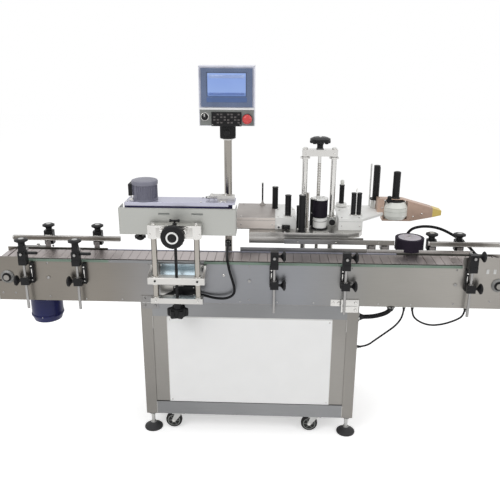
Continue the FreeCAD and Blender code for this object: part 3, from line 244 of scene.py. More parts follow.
def display(name):
    """Lit screen glass: a pale blue field with a darker bar below."""
    made = Nodes(name, (0.02, 0.03, 0.06), rough=0.12, coat=0.4)
    low, high = (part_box("touch_screen")[i].z for i in (0, 1))
    rise = made.span(made.along("z"), 0, 1, low, high)
    field = made.ramp(rise, [(0.0, (0.10, 0.19, 0.46)), (0.36, (0.10, 0.19, 0.46)), (0.375, (0.25, 0.38, 0.72)),
                             (0.78, (0.21, 0.33, 0.70)), (0.80, (0.27, 0.40, 0.76)), (1.0, (0.27, 0.40, 0.76))])
    soft = made.mix(0.25, field, made.ramp(made.noise(9, 1), [(0.3, (0.2, 0.3, 0.66)), (0.7, (0.3, 0.42, 0.78))]))
    made.paint(made.mix(0.86, soft, (0.0, 0.0, 0.0)))
    made.join(soft, made.shader.inputs["Emission Color"])
    made.shader.inputs["Emission Strength"].default_value = 0.9
    return made.material


finishes = {}


def make_finishes():
    finishes.update(
        plate=brushed("plate_steel", (0.27, 0.27, 0.27), rough=0.34,
                      # a painted reflection along x: brownish at the left end, bluish grey in the middle, warm and
                      # brighter at the right end
                      reflection_bands=[(0.0, (0.72, 0.66, 0.58)), (0.22, (0.78, 0.72, 0.64)), (0.36, (0.88, 0.89, 0.93)),
                             (0.6, (0.86, 0.88, 0.93)), (0.74, (1.0, 0.97, 0.90)), (1.0, (1.14, 1.08, 1.0))]),
        steel=brushed("steel_sheet", (0.25, 0.24, 0.225)),
        steel_up=brushed("steel_upright", (0.23, 0.22, 0.205), along="z"),
        pale=brushed("pale_steel", (0.52, 0.51, 0.49), rough=0.28),
        cover=brushed("cover_sheet", (0.46, 0.465, 0.44), rough=0.42, spread=0.05, metal=0.6),
        lilac=brushed("anodised_plate", (0.50, 0.50, 0.60), rough=0.36, spread=0.05, metal=0.7),
        sky=brushed("polished_sheet", (0.58, 0.70, 0.77), rough=0.24, spread=0.06),
        bright=brushed("bright_steel", (0.62, 0.61, 0.59), along="z", rough=0.2),
        polished=cast("polished_rod", (0.66, 0.655, 0.64), rough=0.16, metal=1.0, grit=0.01),
        mast=brushed("mast_tube", (0.34, 0.32, 0.29), along="z", rough=0.2),
        slats=brushed("slat_steel", (0.40, 0.36, 0.355), along="y", rough=0.33, spread=0.16),
        green=cast("green_strip", (0.17, 0.24, 0.19), rough=0.5),
        rails=brushed("rail_steel", (0.225, 0.228, 0.232), rough=0.36),
        rod=cast("guide_rod", (0.30, 0.295, 0.29), rough=0.3, metal=1.0, grit=0.01),
        # worn: the colour of the painted edge highlight
        black=cast("black_plastic", (0.008, 0.008, 0.009), rough=0.4, highlight_colour=(0.06, 0.06, 0.06), shine=0.22),
        grip=knurled("black_grip", (0.008, 0.008, 0.009)),
        cable=cast("cable_sheath", (0.006, 0.006, 0.007), rough=0.55, grit=0.05, shine=0.15),
        white=cast("white_board", (0.90, 0.90, 0.895), rough=0.4, grit=0.01, coat=0.1, spread=0.01),
        # worn: the colour of the painted edge highlight
        blue=cast("blue_paint", (0.002, 0.005, 0.075), rough=0.4, coat=0.1, grit=0.04, highlight_colour=(0.006, 0.012, 0.11),
                  shine=0.3),
        motor=cast("motor_paint", (0.15, 0.15, 0.20), rough=0.4, highlight_colour=(0.4, 0.4, 0.45)),
        casting=cast("grey_casting", (0.22, 0.22, 0.215), rough=0.5, metal=0.6, grit=0.25),
        cream=cast("white_paint", (0.84, 0.84, 0.82), rough=0.4, spread=0.03),
        taupe=cast("deck_front", (0.35, 0.32, 0.30), rough=0.42, metal=0.2),
        beige=cast("beige_front", (0.80, 0.73, 0.68), rough=0.42, spread=0.04),
        shell=cast("panel_paint", (0.72, 0.73, 0.82), rough=0.35, grit=0.04),
        fascia=cast("fascia_grey", (0.20, 0.21, 0.20), rough=0.4, grit=0.05),
        bezel=cast("bezel_blue", (0.105, 0.145, 0.25), rough=0.28, grit=0.03, coat=0.3),
        screen=display("display_glass"),
        red=cast("red_plastic", (0.62, 0.035, 0.035), rough=0.22, coat=0.5, grit=0.02),
        navy=cast("navy_belt", (0.018, 0.014, 0.075), rough=0.6, grit=0.3),
        tan=cast("tan_plate", (0.52, 0.37, 0.29), rough=0.4, metal=0.3),
        amber=cast("amber_tip", (0.72, 0.55, 0.16), rough=0.4),
        dish=cast("dish_paint", (0.78, 0.79, 0.74), rough=0.3, grit=0.04, spread=0.03),
        rubber=cast("foot_rubber", (0.03, 0.03, 0.032), rough=0.7),
        tyre=cast("caster_tyre", (0.016, 0.015, 0.015), rough=0.6, shine=0.25),
        zinc=cast("zinc_sheet", (0.46, 0.46, 0.45), rough=0.35, metal=1.0),
        rim=cast("foam_rim", (0.018, 0.013, 0.024), rough=0.75, grit=0.4, scale=260, shine=0.2),
        silver=cast("silver_ring", (0.70, 0.70, 0.69), rough=0.3, metal=0.8, grit=0.02),
        bezel_dark=cast("bezel_edge", (0.07, 0.10, 0.18), rough=0.3, grit=0.03),
        navy_glass=cast("lower_screen_band", (0.06, 0.12, 0.30), rough=0.2, grit=0.01, coat=0.3),
        glass_dark=cast("screen_bar", (0.12, 0.20, 0.50), rough=0.2, grit=0.01),
        glass_pale=cast("screen_tile", (0.34, 0.45, 0.78), rough=0.2, grit=0.01),
        key_cap=cast("key_cap", (0.09, 0.08, 0.08), rough=0.45),
        motor_top=cast("motor_cap", (0.20, 0.20, 0.25), rough=0.4),
        dish_dark=cast("dish_groove", (0.40, 0.43, 0.38), rough=0.4),
        top_cap=cast("wheel_top", (0.50, 0.48, 0.53), rough=0.4, metal=0.3),
    )


# Shapes, in millimetres with y counted back from the front plate's face


class Shape:
    """Rounded parts gathered into one mesh that rides on one body."""

    def __init__(self):
        self.mesh = bmesh.new()
        self.finishes = []

    def slot(self, finish):
        if finish not in self.finishes:
            self.finishes.append(finish)
        return self.finishes.index(finish)

    def take(self, faces, finish):
        slot = self.slot(finish)
        for face in faces:
            face.material_index = slot

    def box(self, x, y, z, finish, bevel=0.6, turn=0.0, axis="Z"):
        """A block between the two ends given for each axis, its edges rounded."""
        ends = (x, y, z)
        middle = Vector([(a + b) / 2 for a, b in ends])
        size = [max(abs(b - a), 0.01) for a, b in ends]
        made = bmesh.ops.create_cube(self.mesh, size=1.0, matrix=Matrix.Translation(middle)
                                     @ Matrix.Rotation(math.radians(turn), 4, axis)
                                     @ Matrix.Diagonal((*size, 1)))
        corners = made["verts"]
        edges = list({edge for corner in corners for edge in corner.link_edges})
        width = min(bevel, min(size) * 0.3)
        rounded = bmesh.ops.bevel(self.mesh, geom=edges, offset=width, segments=2, affect="EDGES", profile=0.6)
        faces = {face for corner in rounded["verts"] for face in corner.link_faces}
        self.take(faces, finish)

    def lathe(self, place, axis, profile, finish, sides=32, spin=0.0):
        """A turned part: (radius, height) pairs about an axis that starts at a place."""
        up = {"x": (1, 0, 0), "-x": (-1, 0, 0), "y": (0, 1, 0), "-y": (0, -1, 0), "z": (0, 0, 1),
              "-z": (0, 0, -1)}[axis] if isinstance(axis, str) else axis
        turn = Vector(up).to_track_quat("Z", "Y").to_matrix()
        place = Vector(place)
        rings = []
        for radius, height in profile:
            if radius <= 0:
                rings.append([self.mesh.verts.new(place + turn @ Vector((0, 0, height)))])
                continue
            ring = []
            for i in range(sides):
                angle = 2 * math.pi * (i + spin) / sides
                ring.append(self.mesh.verts.new(place + turn @ Vector(
                    (radius * math.cos(angle), radius * math.sin(angle), height))))
            rings.append(ring)
        faces = []
        for low, high in zip(rings, rings[1:]):
            for i in range(sides):
                j = (i + 1) % sides
                corners = []
                for corner in (low[i % len(low)], low[j % len(low)], high[j % len(high)], high[i % len(high)]):
                    if corner not in corners:
                        corners.append(corner)
                if len(corners) > 2:
                    faces.append(self.mesh.faces.new(corners))
        for ring, flip in ((rings[0], True), (rings[-1], False)):
            if len(ring) > 1:
                faces.append(self.mesh.faces.new(ring[::-1] if flip else ring))
        self.take(faces, finish)

    def rod(self, place, axis, radius, length, finish, edge=0.8, sides=28):
        edge = min(edge, radius * 0.4, length * 0.4)
        self.lathe(place, axis, [(radius - edge, 0), (radius, edge), (radius, length - edge),
                                 (radius - edge, length)], finish, sides)

    def ring(self, place, axis, inner, outer, height, finish, sides=32):
        """A round collar with a hole."""
        edge = min(0.6, height * 0.3)
        self.lathe(place, axis, [(inner, 0), (outer - edge, 0), (outer, edge), (outer, height - edge),
                                 (outer - edge, height), (inner, height), (inner, 0)], finish, sides)

    def hex(self, place, axis, size, height, finish):
        """A hexagon head or nut on its washer."""
        self.lathe(place, axis, [(size * 1.22, 0), (size * 1.22, 1.0), (size * 1.05, 1.4)], finish, 20)
        self.lathe(place, axis, [(size * 0.99, 1.2), (size, 1.8), (size, height - 0.8), (size * 0.86, height)],
                   finish, 6)

    def socket(self, place, axis, radius, height, finish, dark="black"):
        """A cap screw with a hollow hexagon."""
        self.lathe(place, axis, [(radius, 0), (radius, height - 0.7), (radius - 0.7, height),
                                 (radius * 0.56, height), (radius * 0.52, height - 0.2)], finish, 18)
        # painted shade: a black hexagon inside the head stands for the hollow
        self.lathe(place, axis, [(radius * 0.55, height - 1.4), (radius * 0.55, height - 0.4)], dark, 6)

    def button(self, place, axis, radius, finish, height=2.2):
        """A low round-headed screw, with painted shade: a small black hexagon on its top stands for the slot."""
        self.lathe(place, axis, [(radius, 0), (radius * 0.94, height * 0.45), (radius * 0.66, height * 0.85),
                                 (radius * 0.3, height), (0, height)], finish, 18)
        self.lathe(place, axis, [(radius * 0.30, height * 0.9), (radius * 0.30, height + 0.15)], "black", 6)

    def prism(self, outline, axis, low, high, finish, bevel=0.6):
        """An outline in the plane across an axis, drawn from low to high along it."""
        def point(a, b, h):
            return {"x": (h, a, b), "y": (a, h, b), "z": (a, b, h)}[axis]
        bottom = [self.mesh.verts.new(point(a, b, low)) for a, b in outline]
        top = [self.mesh.verts.new(point(a, b, high)) for a, b in outline]
        faces = [self.mesh.faces.new(bottom[::-1]), self.mesh.faces.new(top)]
        for i in range(len(outline)):
            j = (i + 1) % len(outline)
            faces.append(self.mesh.faces.new((bottom[i], bottom[j], top[j], top[i])))
        bmesh.ops.recalc_face_normals(self.mesh, faces=faces)
        edges = list({edge for face in faces for edge in face.edges})
        made = bmesh.ops.bevel(self.mesh, geom=edges, offset=bevel, segments=2, affect="EDGES", profile=0.6)
        self.take({face for corner in made["verts"] for face in corner.link_faces}, finish)

    def tube(self, points, radius, finish, sides=16):
        """A round wire through points, swept on one smooth line."""
        points = [Vector(p) for p in points]
        line = []
        for i in range(len(points) - 1):
            before = points[max(i - 1, 0)]
            after = points[min(i + 2, len(points) - 1)]
            for step in range(6):
                t = step / 6
                a, b = points[i], points[i + 1]
                line.append(0.5 * ((2 * a) + (b - before) * t + (2 * before - 5 * a + 4 * b - after) * t * t
                                   + (3 * a - before - 3 * b + after) * t ** 3))
        line.append(points[-1])
        side = None
        rings = []
        for i, spot in enumerate(line):
            way = (line[min(i + 1, len(line) - 1)] - line[max(i - 1, 0)]).normalized()
            if side is None:
                side = way.orthogonal().normalized()
            side = (side - way * side.dot(way)).normalized()
            other = way.cross(side)
            rings.append([self.mesh.verts.new(spot + radius * (
                side * math.cos(2 * math.pi * k / sides) + other * math.sin(2 * math.pi * k / sides)))
                for k in range(sides)])
        faces = []
        for low, high in zip(rings, rings[1:]):
            for k in range(sides):
                faces.append(self.mesh.faces.new((low[k], low[(k + 1) % sides], high[(k + 1) % sides], high[k])))
        faces.append(self.mesh.faces.new(rings[0][::-1]))
        faces.append(self.mesh.faces.new(rings[-1]))
        self.take(faces, finish)

    def place(self, name, body, slot):
        """Turn the gathered parts into one object riding on a body."""
        bmesh.ops.transform(self.mesh, matrix=Matrix.Translation(at(0, 0, 0)) @ Matrix.Scale(0.001, 4),
                            verts=self.mesh.verts)
        bmesh.ops.recalc_face_normals(self.mesh, faces=self.mesh.faces)
        for face in self.mesh.faces:
            face.smooth = True
        data = bpy.data.meshes.new(name)
        self.mesh.to_mesh(data)
        self.mesh.free()
        data.set_sharp_from_angle(angle=math.radians(38))
        for finish in self.finishes:
            data.materials.append(finishes[finish])
        piece = bpy.data.objects.new(name, data)
        bpy.context.scene.collection.objects.link(piece)
        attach(piece, body)
        return piece


def dress(node, finish, *regions):
    """Give a CAD node its finish, and other finishes to the faces inside boxes (millimetres)."""
    mesh = nodes[node].data
    mesh.materials.clear()
    mesh.materials.append(finishes[finish])
    for region_finish, *_ in regions:
        mesh.materials.append(finishes[region_finish])
    origin = at(0, 0, 0)
    places = [(sum((mesh.vertices[i].co for i in face.vertices), Vector()) / len(face.vertices) - origin) * 1000
              for face in mesh.polygons]
    for face, place in zip(mesh.polygons, places):
        face.material_index = 0
        for number, (_, x, y, z) in enumerate(regions, 1):
            if x[0] <= place.x <= x[1] and y[0] <= place.y <= y[1] and z[0] <= place.z <= z[1]:
                face.material_index = number


ALL = (-9999, 9999)
CORNERS = ("front_left", "front_right", "rear_left", "rear_right")


def dress_nodes():
    for name in ("front_side_plate", "back_side_plate"):
        dress(name, "plate")
    dress("conveyor_hardware", "steel", ("casting", (-1100, -1030), ALL, (730, 800)),
          ("casting", (1030, 1100), ALL, (730, 800)))
    dress("wear_strips", "green", ("lilac", ALL, (143, 160), (835, 870)))
    dress("slat_chain", "slats")
    for name in ("drive_shaft", "idler_shaft", "rear_door"):
        dress(name, "steel")
    dress("drive_gearbox", "casting")
    dress("drive_motor", "blue")
    dress("cabinet_frame", "steel_up", ("rails", (-429, 429), ALL, (90, 156)), ("rails", (-429, 429), ALL, (589, 656)),
          ("zinc", ALL, ALL, (80, 89.5)))
    dress("cabinet_panels", "steel")
    dress("sign_board", "white")
    dress("leveling_feet", "rubber", ("zinc", ALL, ALL, (30.5, 95)))
    dress("door_latch", "black")
    dress("electrical_panel", "zinc", ("cream", (-320, 320), (60, 69.9), ALL), ("fascia", (-301, 301), (72.5, 115), (350, 420)),
          ("fascia", (-301, 301), (72.5, 115), (516, 562)), ("black", (-292, -78), (72.5, 215), (395, 520)),
          ("cream", (-52, 92), (72.5, 215), (400, 520)), ("blue", (118, 272), (72.5, 215), (395, 520)),
          ("cream", (-292, -118), (72.5, 215), (230, 330)), ("black", (58, 282), (72.5, 215), (240, 300)))
    dress("panel_mast", "mast", ("bright", ALL, ALL, (650, 670)), ("black", ALL, (150, 177), (860, 900)))
    dress("panel_box", "shell", ("fascia", ALL, (146.5, 149.9), (1409, 1476)),
          ("black", (-169, -41), (140, 147.9), (1409, 1470)), ("black", ALL, ALL, (1340, 1408.9)),
          ("black", (-40, 5), (140, 147.9), (1409, 1476)))
    dress("touch_screen", "bezel", ("screen", (-184, -22), (144.4, 145.6), (1532, 1626)))
    dress("stop_button", "red", ("black", ALL, (136.5, 170), ALL))
    dress("selector_switch", "black", ("bright", ALL, (120, 131.5), (1430, 1465)))
    dress("wrap_bracket", "pale", ("sky", (-400, -200), (-3.2, 0.1), (750, 842)), ("black", (-340, -225), (-25, 0.1), (690, 750)))
    dress("wrap_lift", "pale", ("mast", ALL, ALL, (720, 983)), ("bright", ALL, ALL, (983.5, 1040)),
          ("black", ALL, ALL, (1040.5, 1062)))
    dress("lift_star_knob", "black")
    dress("wrap_carriage", "pale", ("lilac", ALL, (-33, 61), (1110, 1120.5)),
          ("motor", (-520, -380), ALL, (1120.6, 1210)), ("black", (-490, -430), (-45, 10), (940, 983.5)))
    dress("wrap_cover", "cover")
    dress("wrap_belt", "navy")
    dress("wrap_drive_pulley", "zinc")
    dress("wrap_idler_pulley", "zinc")
    dress("depth_knob", "grip", ("bright", ALL, (-125, -46), ALL))
    dress("label_stand", "bright", ("steel", ALL, ALL, (650, 672)))
    dress("lift_handwheel", "black", ("polished", ALL, ALL, (670, 1275)))
    for name in ("tall_roller", "nip_roller", "infeed_roller", "rewind_spindle", "unwind_spindle"):
        dress(name, "black")
    dress("label_base", "pale", ("black", ALL, ALL, (926.5, 1200)), ("cream", (214, 400), (308, 372), (925.2, 966)),
          ("cream", (278, 348), (249, 319), (925.2, 980)), ("mast", (240, 260), (250, 266), (926, 1100)))
    dress("drive_drum", "black", ("bright", ALL, ALL, (1061.5, 1070)))
    dress("label_deck", "cream", ("beige", (-61, -59), ALL, ALL), ("bright", (540, 620), (420, 500), (981, 1030)),
          ("mast", (570, 600), (470, 500), (1000, 1200)))
    dress("unwind_arm", "tan", ("amber", (852, 900), ALL, ALL))
    dress("unwind_hub", "dish")
    dress("bracket_clamps", "black")
    dress("guide_posts", "rod", ("black", (660, 770), (150, 280), (700, 830)), ("plate", (140, 645), (150, 166), (880, 912)))
    for name, places in (("left_guide_rail", (-925, -700)), ("right_guide_rail", (808, 930))):
        dress(name, "plate", ("black", ALL, ALL, (907, 990)),
              *[("black", (x - 21, x + 21), (165.9, 210), (860, 907)) for x in places])
    dress("separator_wheel", "rim", ("top_cap", ALL, ALL, (908, 909)))
    for corner in CORNERS:
        dress("caster_fork_" + corner, "zinc")
        dress("caster_wheel_" + corner, "tyre")


# Cables: the same corners as the CAD tubes, in millimetres behind the front plate's face
CABLES = {
    "wrap_cable": (11, (
        (-103, 168, 880), (-103, 128, 880), (-102, 80, 870), (-99, 30, 868), (-93, -18, 860), (-82, -34, 815),
        (-66, -34, 765), (-60, -30, 718), (-95, -26, 692), (-145, -20, 690), (-195, -14, 700),
        (-240, -12, 712), (-281, -12, 712))),
    "separator_cable": (13, (
        (716, 241, 823), (716, 288, 823), (712, 293, 873), (733, 288, 925), (785, 272, 945), (850, 262, 942),
        (910, 249, 918), (975, 221, 880), (1015, 195, 838), (1015, 150, 838))),
    "cable_bundle": (20, (
        (480, 20, 598), (520, 20, 598), (560, 15, 606), (600, 12, 622), (617, 10.5, 640), (617, 10.5, 657))),
    "drop_cable": (8, (
        (675, 12, 657), (675, 12, 612), (650, 14, 565), (612, 16, 530), (566, 19, 490), (522, 22, 450),
        (480, 22, 450))),
    "loop_cable": (8, (
        (711, 12, 657), (711, 12, 615), (745, 12, 583), (795, 12, 566), (850, 12, 573), (900, 12, 592),
        (938, 12, 617), (938, 12, 657))),
}


def add_cables():
    for name, (diameter, corners) in CABLES.items():
        curve = bpy.data.curves.new(name + "_line", "CURVE")
        curve.dimensions = "3D"
        curve.bevel_depth = diameter / 2000
        curve.bevel_resolution = 5
        curve.use_fill_caps = True
        spline = curve.splines.new("NURBS")
        spline.points.add(len(corners) - 1)
        for point, corner in zip(spline.points, corners):
            point.co = (*at(*corner), 1)
        spline.order_u = 3
        spline.use_endpoint_u = True
        spline.resolution_u = 12
        curve.materials.append(finishes["cable"])
        piece = bpy.data.objects.new(name + "_line", curve)
        bpy.context.scene.collection.objects.link(piece)
        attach(piece, "frame")
        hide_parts(name)


def add_cable_glands():
    """The tapered glands where each cable goes in."""
    made = Shape()
    for name, (diameter, corners) in CABLES.items():
        for end, beside in ((corners[0], corners[1]), (corners[-1], corners[-2])):
            way = (Vector(beside) - Vector(end)).normalized()
            r = diameter / 2
            made.lathe(end, way, [(r * 1.9, 0), (r * 1.9, 5), (r * 1.5, 6), (r * 1.5, 12), (r * 1.25, 15),
                                  (r * 1.06, 22), (r * 0.9, 22)], "black", 20)
            made.lathe(end, way, [(r * 2.1, 0.4), (r * 2.15, 1), (r * 2.15, 3.4), (r * 2.0, 4)], "zinc", 6)
    made.place("cable_glands", "frame", "black_plastic")


# Detail pieces


def detail_conveyor():
    made = Shape()
    for x in (-880, -440, 0, 440, 880):
        for face, axis in ((0, "-y"), (150, "y")):
            made.socket((x, face, 766), axis, 6.5, 4.5, "rod")
            made.ring((x, face, 766), axis, 6.6, 9.5, 1.1, "plate", 24)
            for z in (832.5, 676.5):
                made.button((x, face, z), axis, 4.2, "rod")
    for x in (-1062, 1062):
        for face, axis, way in ((-9, "-y", -1), (159, "y", 1)):
            for angle in (45, 135, 225, 315):
                dx = 25.5 * math.cos(math.radians(angle))
                dz = 25.5 * math.sin(math.radians(angle))
                made.socket((x + dx, face - way * 3.0, 766 + dz), axis, 3.0, 2.8, "casting")
            made.ring((x, face, 766), axis, 13.2, 20.5, 1.6, "black", 32)
            made.button((x, face - way * 4.5, 766 + 22), "z", 2.2, "zinc", 3.0)
    for x in (-1090, -1034, 1034, 1090):
        made.button((x, 0, 690), "-y", 4.6, "rod")
    for face, axis in ((0, "-y"), (150, "y")):
        for x in (-720, -560, -40, 120, 280, 560, 700):
            if axis == "y" or not -480 < x < -100:
                made.button((x, face, 668), axis, 3.6, "zinc")
    made.button((-111, 0, 790), "-y", 6.0, "bright", 3.0)
    for x in (1010, 1040):
        made.prism([(x - 6, 818), (x + 6, 818), (x + 6, 838), (x - 6, 838)], "y", -1.4, 0.2, "zinc", 0.4)
    made.place("conveyor_fasteners", "frame", "chrome")

    # painted shade: thin black patches on the side plates stand for the shade inside slots
    dark = Shape()
    for x in (-1100, 1100):
        dark.prism([(x - 9, 745), (x + 9, 745), (x + 9, 752), (x - 9, 752)], "y", -0.5, 0.2, "black", 0.1)
    for x in (-926, -700, 230, 560):
        dark.box((x - 9, x + 9), (149.5, 151.2), (700, 706), "black", 0.4)
    dark.place("plate_slot_shade", "frame", "black_plastic")

    tabs = Shape()
    for x, metal in ((-438, "plate"), (438, "bright")):
        tabs.prism([(x - 38, 627.5), (x + 38, 627.5), (x + 38, 688), (x - 38, 688)], "y", -3.8, -2.9, metal, 0.3)
        for dx in (-24, 24):
            for dz in (641, 675):
                tabs.hex((x + dx, -3.6, dz), "-y", 6.6, 6.0, metal)
        tabs.tube([(x - 34, -4.4, 657.4), (x, -5.2, 657.4), (x + 34, -4.4, 657.4)], 1.6, "zinc", 10)
    tabs.prism([(354, 656), (401, 656), (401, 687), (354, 687)], "y", -2.2, 0.1, "bright", 0.5)
    for x in (364, 388):
        tabs.hex((x, -2.0, 672), "-y", 6.0, 5.4, "bright")
    tabs.place("mounting_tab_bolts", "frame", "chrome")

    caps = Shape()
    for i in range(12):
        caps.button((-925 + i * 162.5, -2.0, 845.2), "-y", 2.1, "rod", 1.2)
    low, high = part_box("wear_strips")
    front, top = (low.y - PLATE_FACE) * 1000, high.z * 1000
    caps.box((-610, -196), (front - 0.5, front + 7.5), (top - 9.4, top + 0.5), "rails", 0.5)
    caps.place("strip_rivets", "frame", "chrome")


def detail_drive():
    made = Shape()
    spine, middle = -980, 205
    for angle in range(0, 360, 45):
        a = math.radians(angle + 22.5)
        made.hex((spine + 80 * math.cos(a), middle + 80 * math.sin(a), 606), "-z", 5, 6, "zinc")
    for x, z in ((-1104, 812), (-1104, 722), (-955, 812), (-955, 722)):
        made.socket((x, 293, z), "y", 5, 4, "zinc")
    made.lathe((-1062, 251, 766), "y", [(44, 40.5), (46, 41.5), (46, 44), (40, 46.5), (26, 47.5), (24, 45.5),
                                         (0, 45.5)], "casting", 40)
    for angle in range(0, 360, 60):
        a = math.radians(angle)
        made.socket((-1062 + 39 * math.cos(a), 296.2, 766 + 39 * math.sin(a)), "y", 3.2, 3, "bright")
    for z in (640, 660, 680):
        made.box((-1028, -932), (292.5, 294.6), (z, z + 5), "casting", 1.0)
    made.hex((-1010, 250, 828), "z", 8, 9, "bright")
    made.hex((-1120, 230, 740), "-x", 7, 6, "bright")
    made.place("gearbox_details", "frame", "grey_casting")

    cowl = Shape()
    cowl.ring((spine, middle, 503), "z", 72.0, 75.6, 8, "blue", 60)
    cowl.ring((spine, middle, 594), "z", 72.0, 79.8, 5.5, "blue", 60)
    # painted shade: black rings on the fan cover's end stand for the shade in its openings
    for radius in (14, 23, 32, 41):
        cowl.ring((spine, middle, 469.6), "-z", radius, radius + 3.5, 1.2, "black", 40)
    for angle in (30, 150, 270):
        a = math.radians(angle)
        cowl.button((spine + 74 * math.cos(a), middle + 74 * math.sin(a), 507), (math.cos(a), math.sin(a), 0), 3,
                    "zinc")
    lid = middle + 102
    for x in (-32, 32):
        for z in (538, 584):
            cowl.button((spine + x, lid + 2.5, z), "y", 3.2, "zinc")
    cowl.box((spine - 36.5, spine + 36.5), (lid - 2, lid + 2.6), (534, 588), "blue", 2.5)
    cowl.lathe((spine, middle + 84, 532), "-z", [(11, 0), (11, 5), (8.5, 6), (8.5, 13), (5, 17), (0, 17)], "black", 20)
    cowl.place("motor_cowl", "frame", "blue_paint")


def detail_cabinet():
    made = Shape()
    for x in (-355, 355):
        for z in (168, 574):
            made.button((x, 1.0, z), "-y", 4.0, "bright")
    made.place("sign_screws", "frame", "chrome")

    trim = Shape()
    for x in (-368, 366):
        trim.box((x, x + 2), (0.2, 3.8), (157.5, 585.5), "pale", 0.4)
    trim.box((-366, 366), (0.2, 3.8), (585.5, 587.6), "pale", 0.4)
    trim.place("sign_edge_trim", "frame", "chrome")

    vents = Shape()
    for side in (-1, 1):
        face = side * 476
        for row in range(10):
            z = 440 + row * 11
            vents.prism([(160, z), (340, z), (340, z + 3), (160, z + 3)], "x",
                        face - 0.2 * side, face + 1.6 * side, "steel", 0.3) if side > 0 else vents.prism(
                [(160, z), (340, z), (340, z + 3), (160, z + 3)], "x", face - 1.6, face + 0.2, "steel", 0.3)
            # painted shade: a black strip under each louvre
            vents.box((face, face + side * 0.5), (162, 338), (z - 2.6, z - 0.2), "black", 0.1)
        for y in (60, 440):
            for z in (165, 580):
                vents.button((face, y, z), "x" if side > 0 else "-x", 3.6, "bright")
    vents.place("side_vents", "frame", "stainless")

    door = Shape()
    for row in range(9):
        z = 470 + row * 11
        door.prism([(60, z), (260, z), (260, z + 3), (60, z + 3)], "y", 517.8, 520.4, "steel", 0.4)
        # painted shade: a black strip under each louvre
        door.box((62, 258), (518.0, 518.8), (z - 2.8, z - 0.3), "black", 0.1)
    for x0, x1, z0, z1 in ((-438, 438, 586, 591), (-438, 438, 155, 160), (-438, -433, 160, 586), (433, 438, 160, 586)):
        door.box((x0, x1), (518, 519.2), (z0, z1), "steel", 0.5)
    door.place("door_folds", "rear_door", "stainless")

    welds = Shape()
    for x in (-430, 430):
        for y in (0, 500):
            for z in (155, 590.5):
                way = 1 if x < 0 else -1
                welds.tube([(x + way * 0.4, y + (0.2 if y == 0 else -0.2), z - 60 + i * 10) for i in range(7)]
                           if z > 500 else [(x + way * 0.4, y + (0.2 if y == 0 else -0.2), 96 + i * 9) for i in range(7)],
                           1.0, "pale", 8)
    for side in (-1, 1):
        for y in (25, 475):
            x = side * 455
            welds.hex((x, y, 79), "z", 15, 9, "zinc")
            welds.ring((x, y, 28), "z", 8.4, 14, 4, "zinc", 28)
            welds.ring((x, y, 1), "z", 37.5, 42.6, 5, "rubber", 48)
            for turn in range(6):
                welds.ring((x, y, 36 + turn * 5.6), "z", 7.6, 8.5, 2.6, "zinc", 24)
    welds.place("frame_welds_and_studs", "frame", "stainless")

    hinges = Shape()
    for z in (213, 493):
        for dy in (0, 1):
            hinges.button((430, 518.5, z + 8 + dy * 22), "y", 3.5, "bright", 1.8)
    hinges.place("hinge_screws", "rear_door", "chrome")


def detail_casters():
    for corner in CORNERS:
        low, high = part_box("caster_wheel_" + corner)
        x = (low.x + high.x) * 500
        y = ((low.y + high.y) / 2 - PLATE_FACE) * 1000
        z = (low.z + high.z) * 500
        half = 12
        hub = Shape()
        for way, axis in ((-1, "-y"), (1, "y")):
            hub.lathe((x, y + way * (half - 2), z), axis, [(4.3, 2.5), (11, 2.6), (11, 1.2), (24, 1.2), (27, 2.6),
                                                          (29, 2.2), (29, 0)], "fascia", 40)
            for angle in range(0, 360, 60):
                a = math.radians(angle)
                hub.box((x + 17.5 * math.cos(a) - 6, x + 17.5 * math.cos(a) + 6), (y + way * 11, y + way * 12.6),
                        (z + 17.5 * math.sin(a) - 1.3, z + 17.5 * math.sin(a) + 1.3), "fascia", 0.4, -angle, "Y")
        hub.lathe((x, y - 12, z), "y", [(32.5, 0.2), (36.2, 1.6), (38.4, 6.5), (38.4, 17.5), (36.2, 22.4),
                                        (32.5, 23.8)], "tyre", 56)
        hub.place("caster_hub_" + corner, "caster_wheel_" + corner, "caster_tyre")
        fork = Shape()
        for way, axis in ((-1, "-y"), (1, "y")):
            fork.hex((x, y + way * 15.8, z), axis, 5.6, 4.2, "bright")
        fork.lathe((x + 25, y, 79.9), "z", [(19, -3), (23, -2), (24, 0.5), (22, 3.0), (12, 3.6)], "zinc", 36)
        fork.place("caster_axle_" + corner, "caster_fork_" + corner, "galvanised")


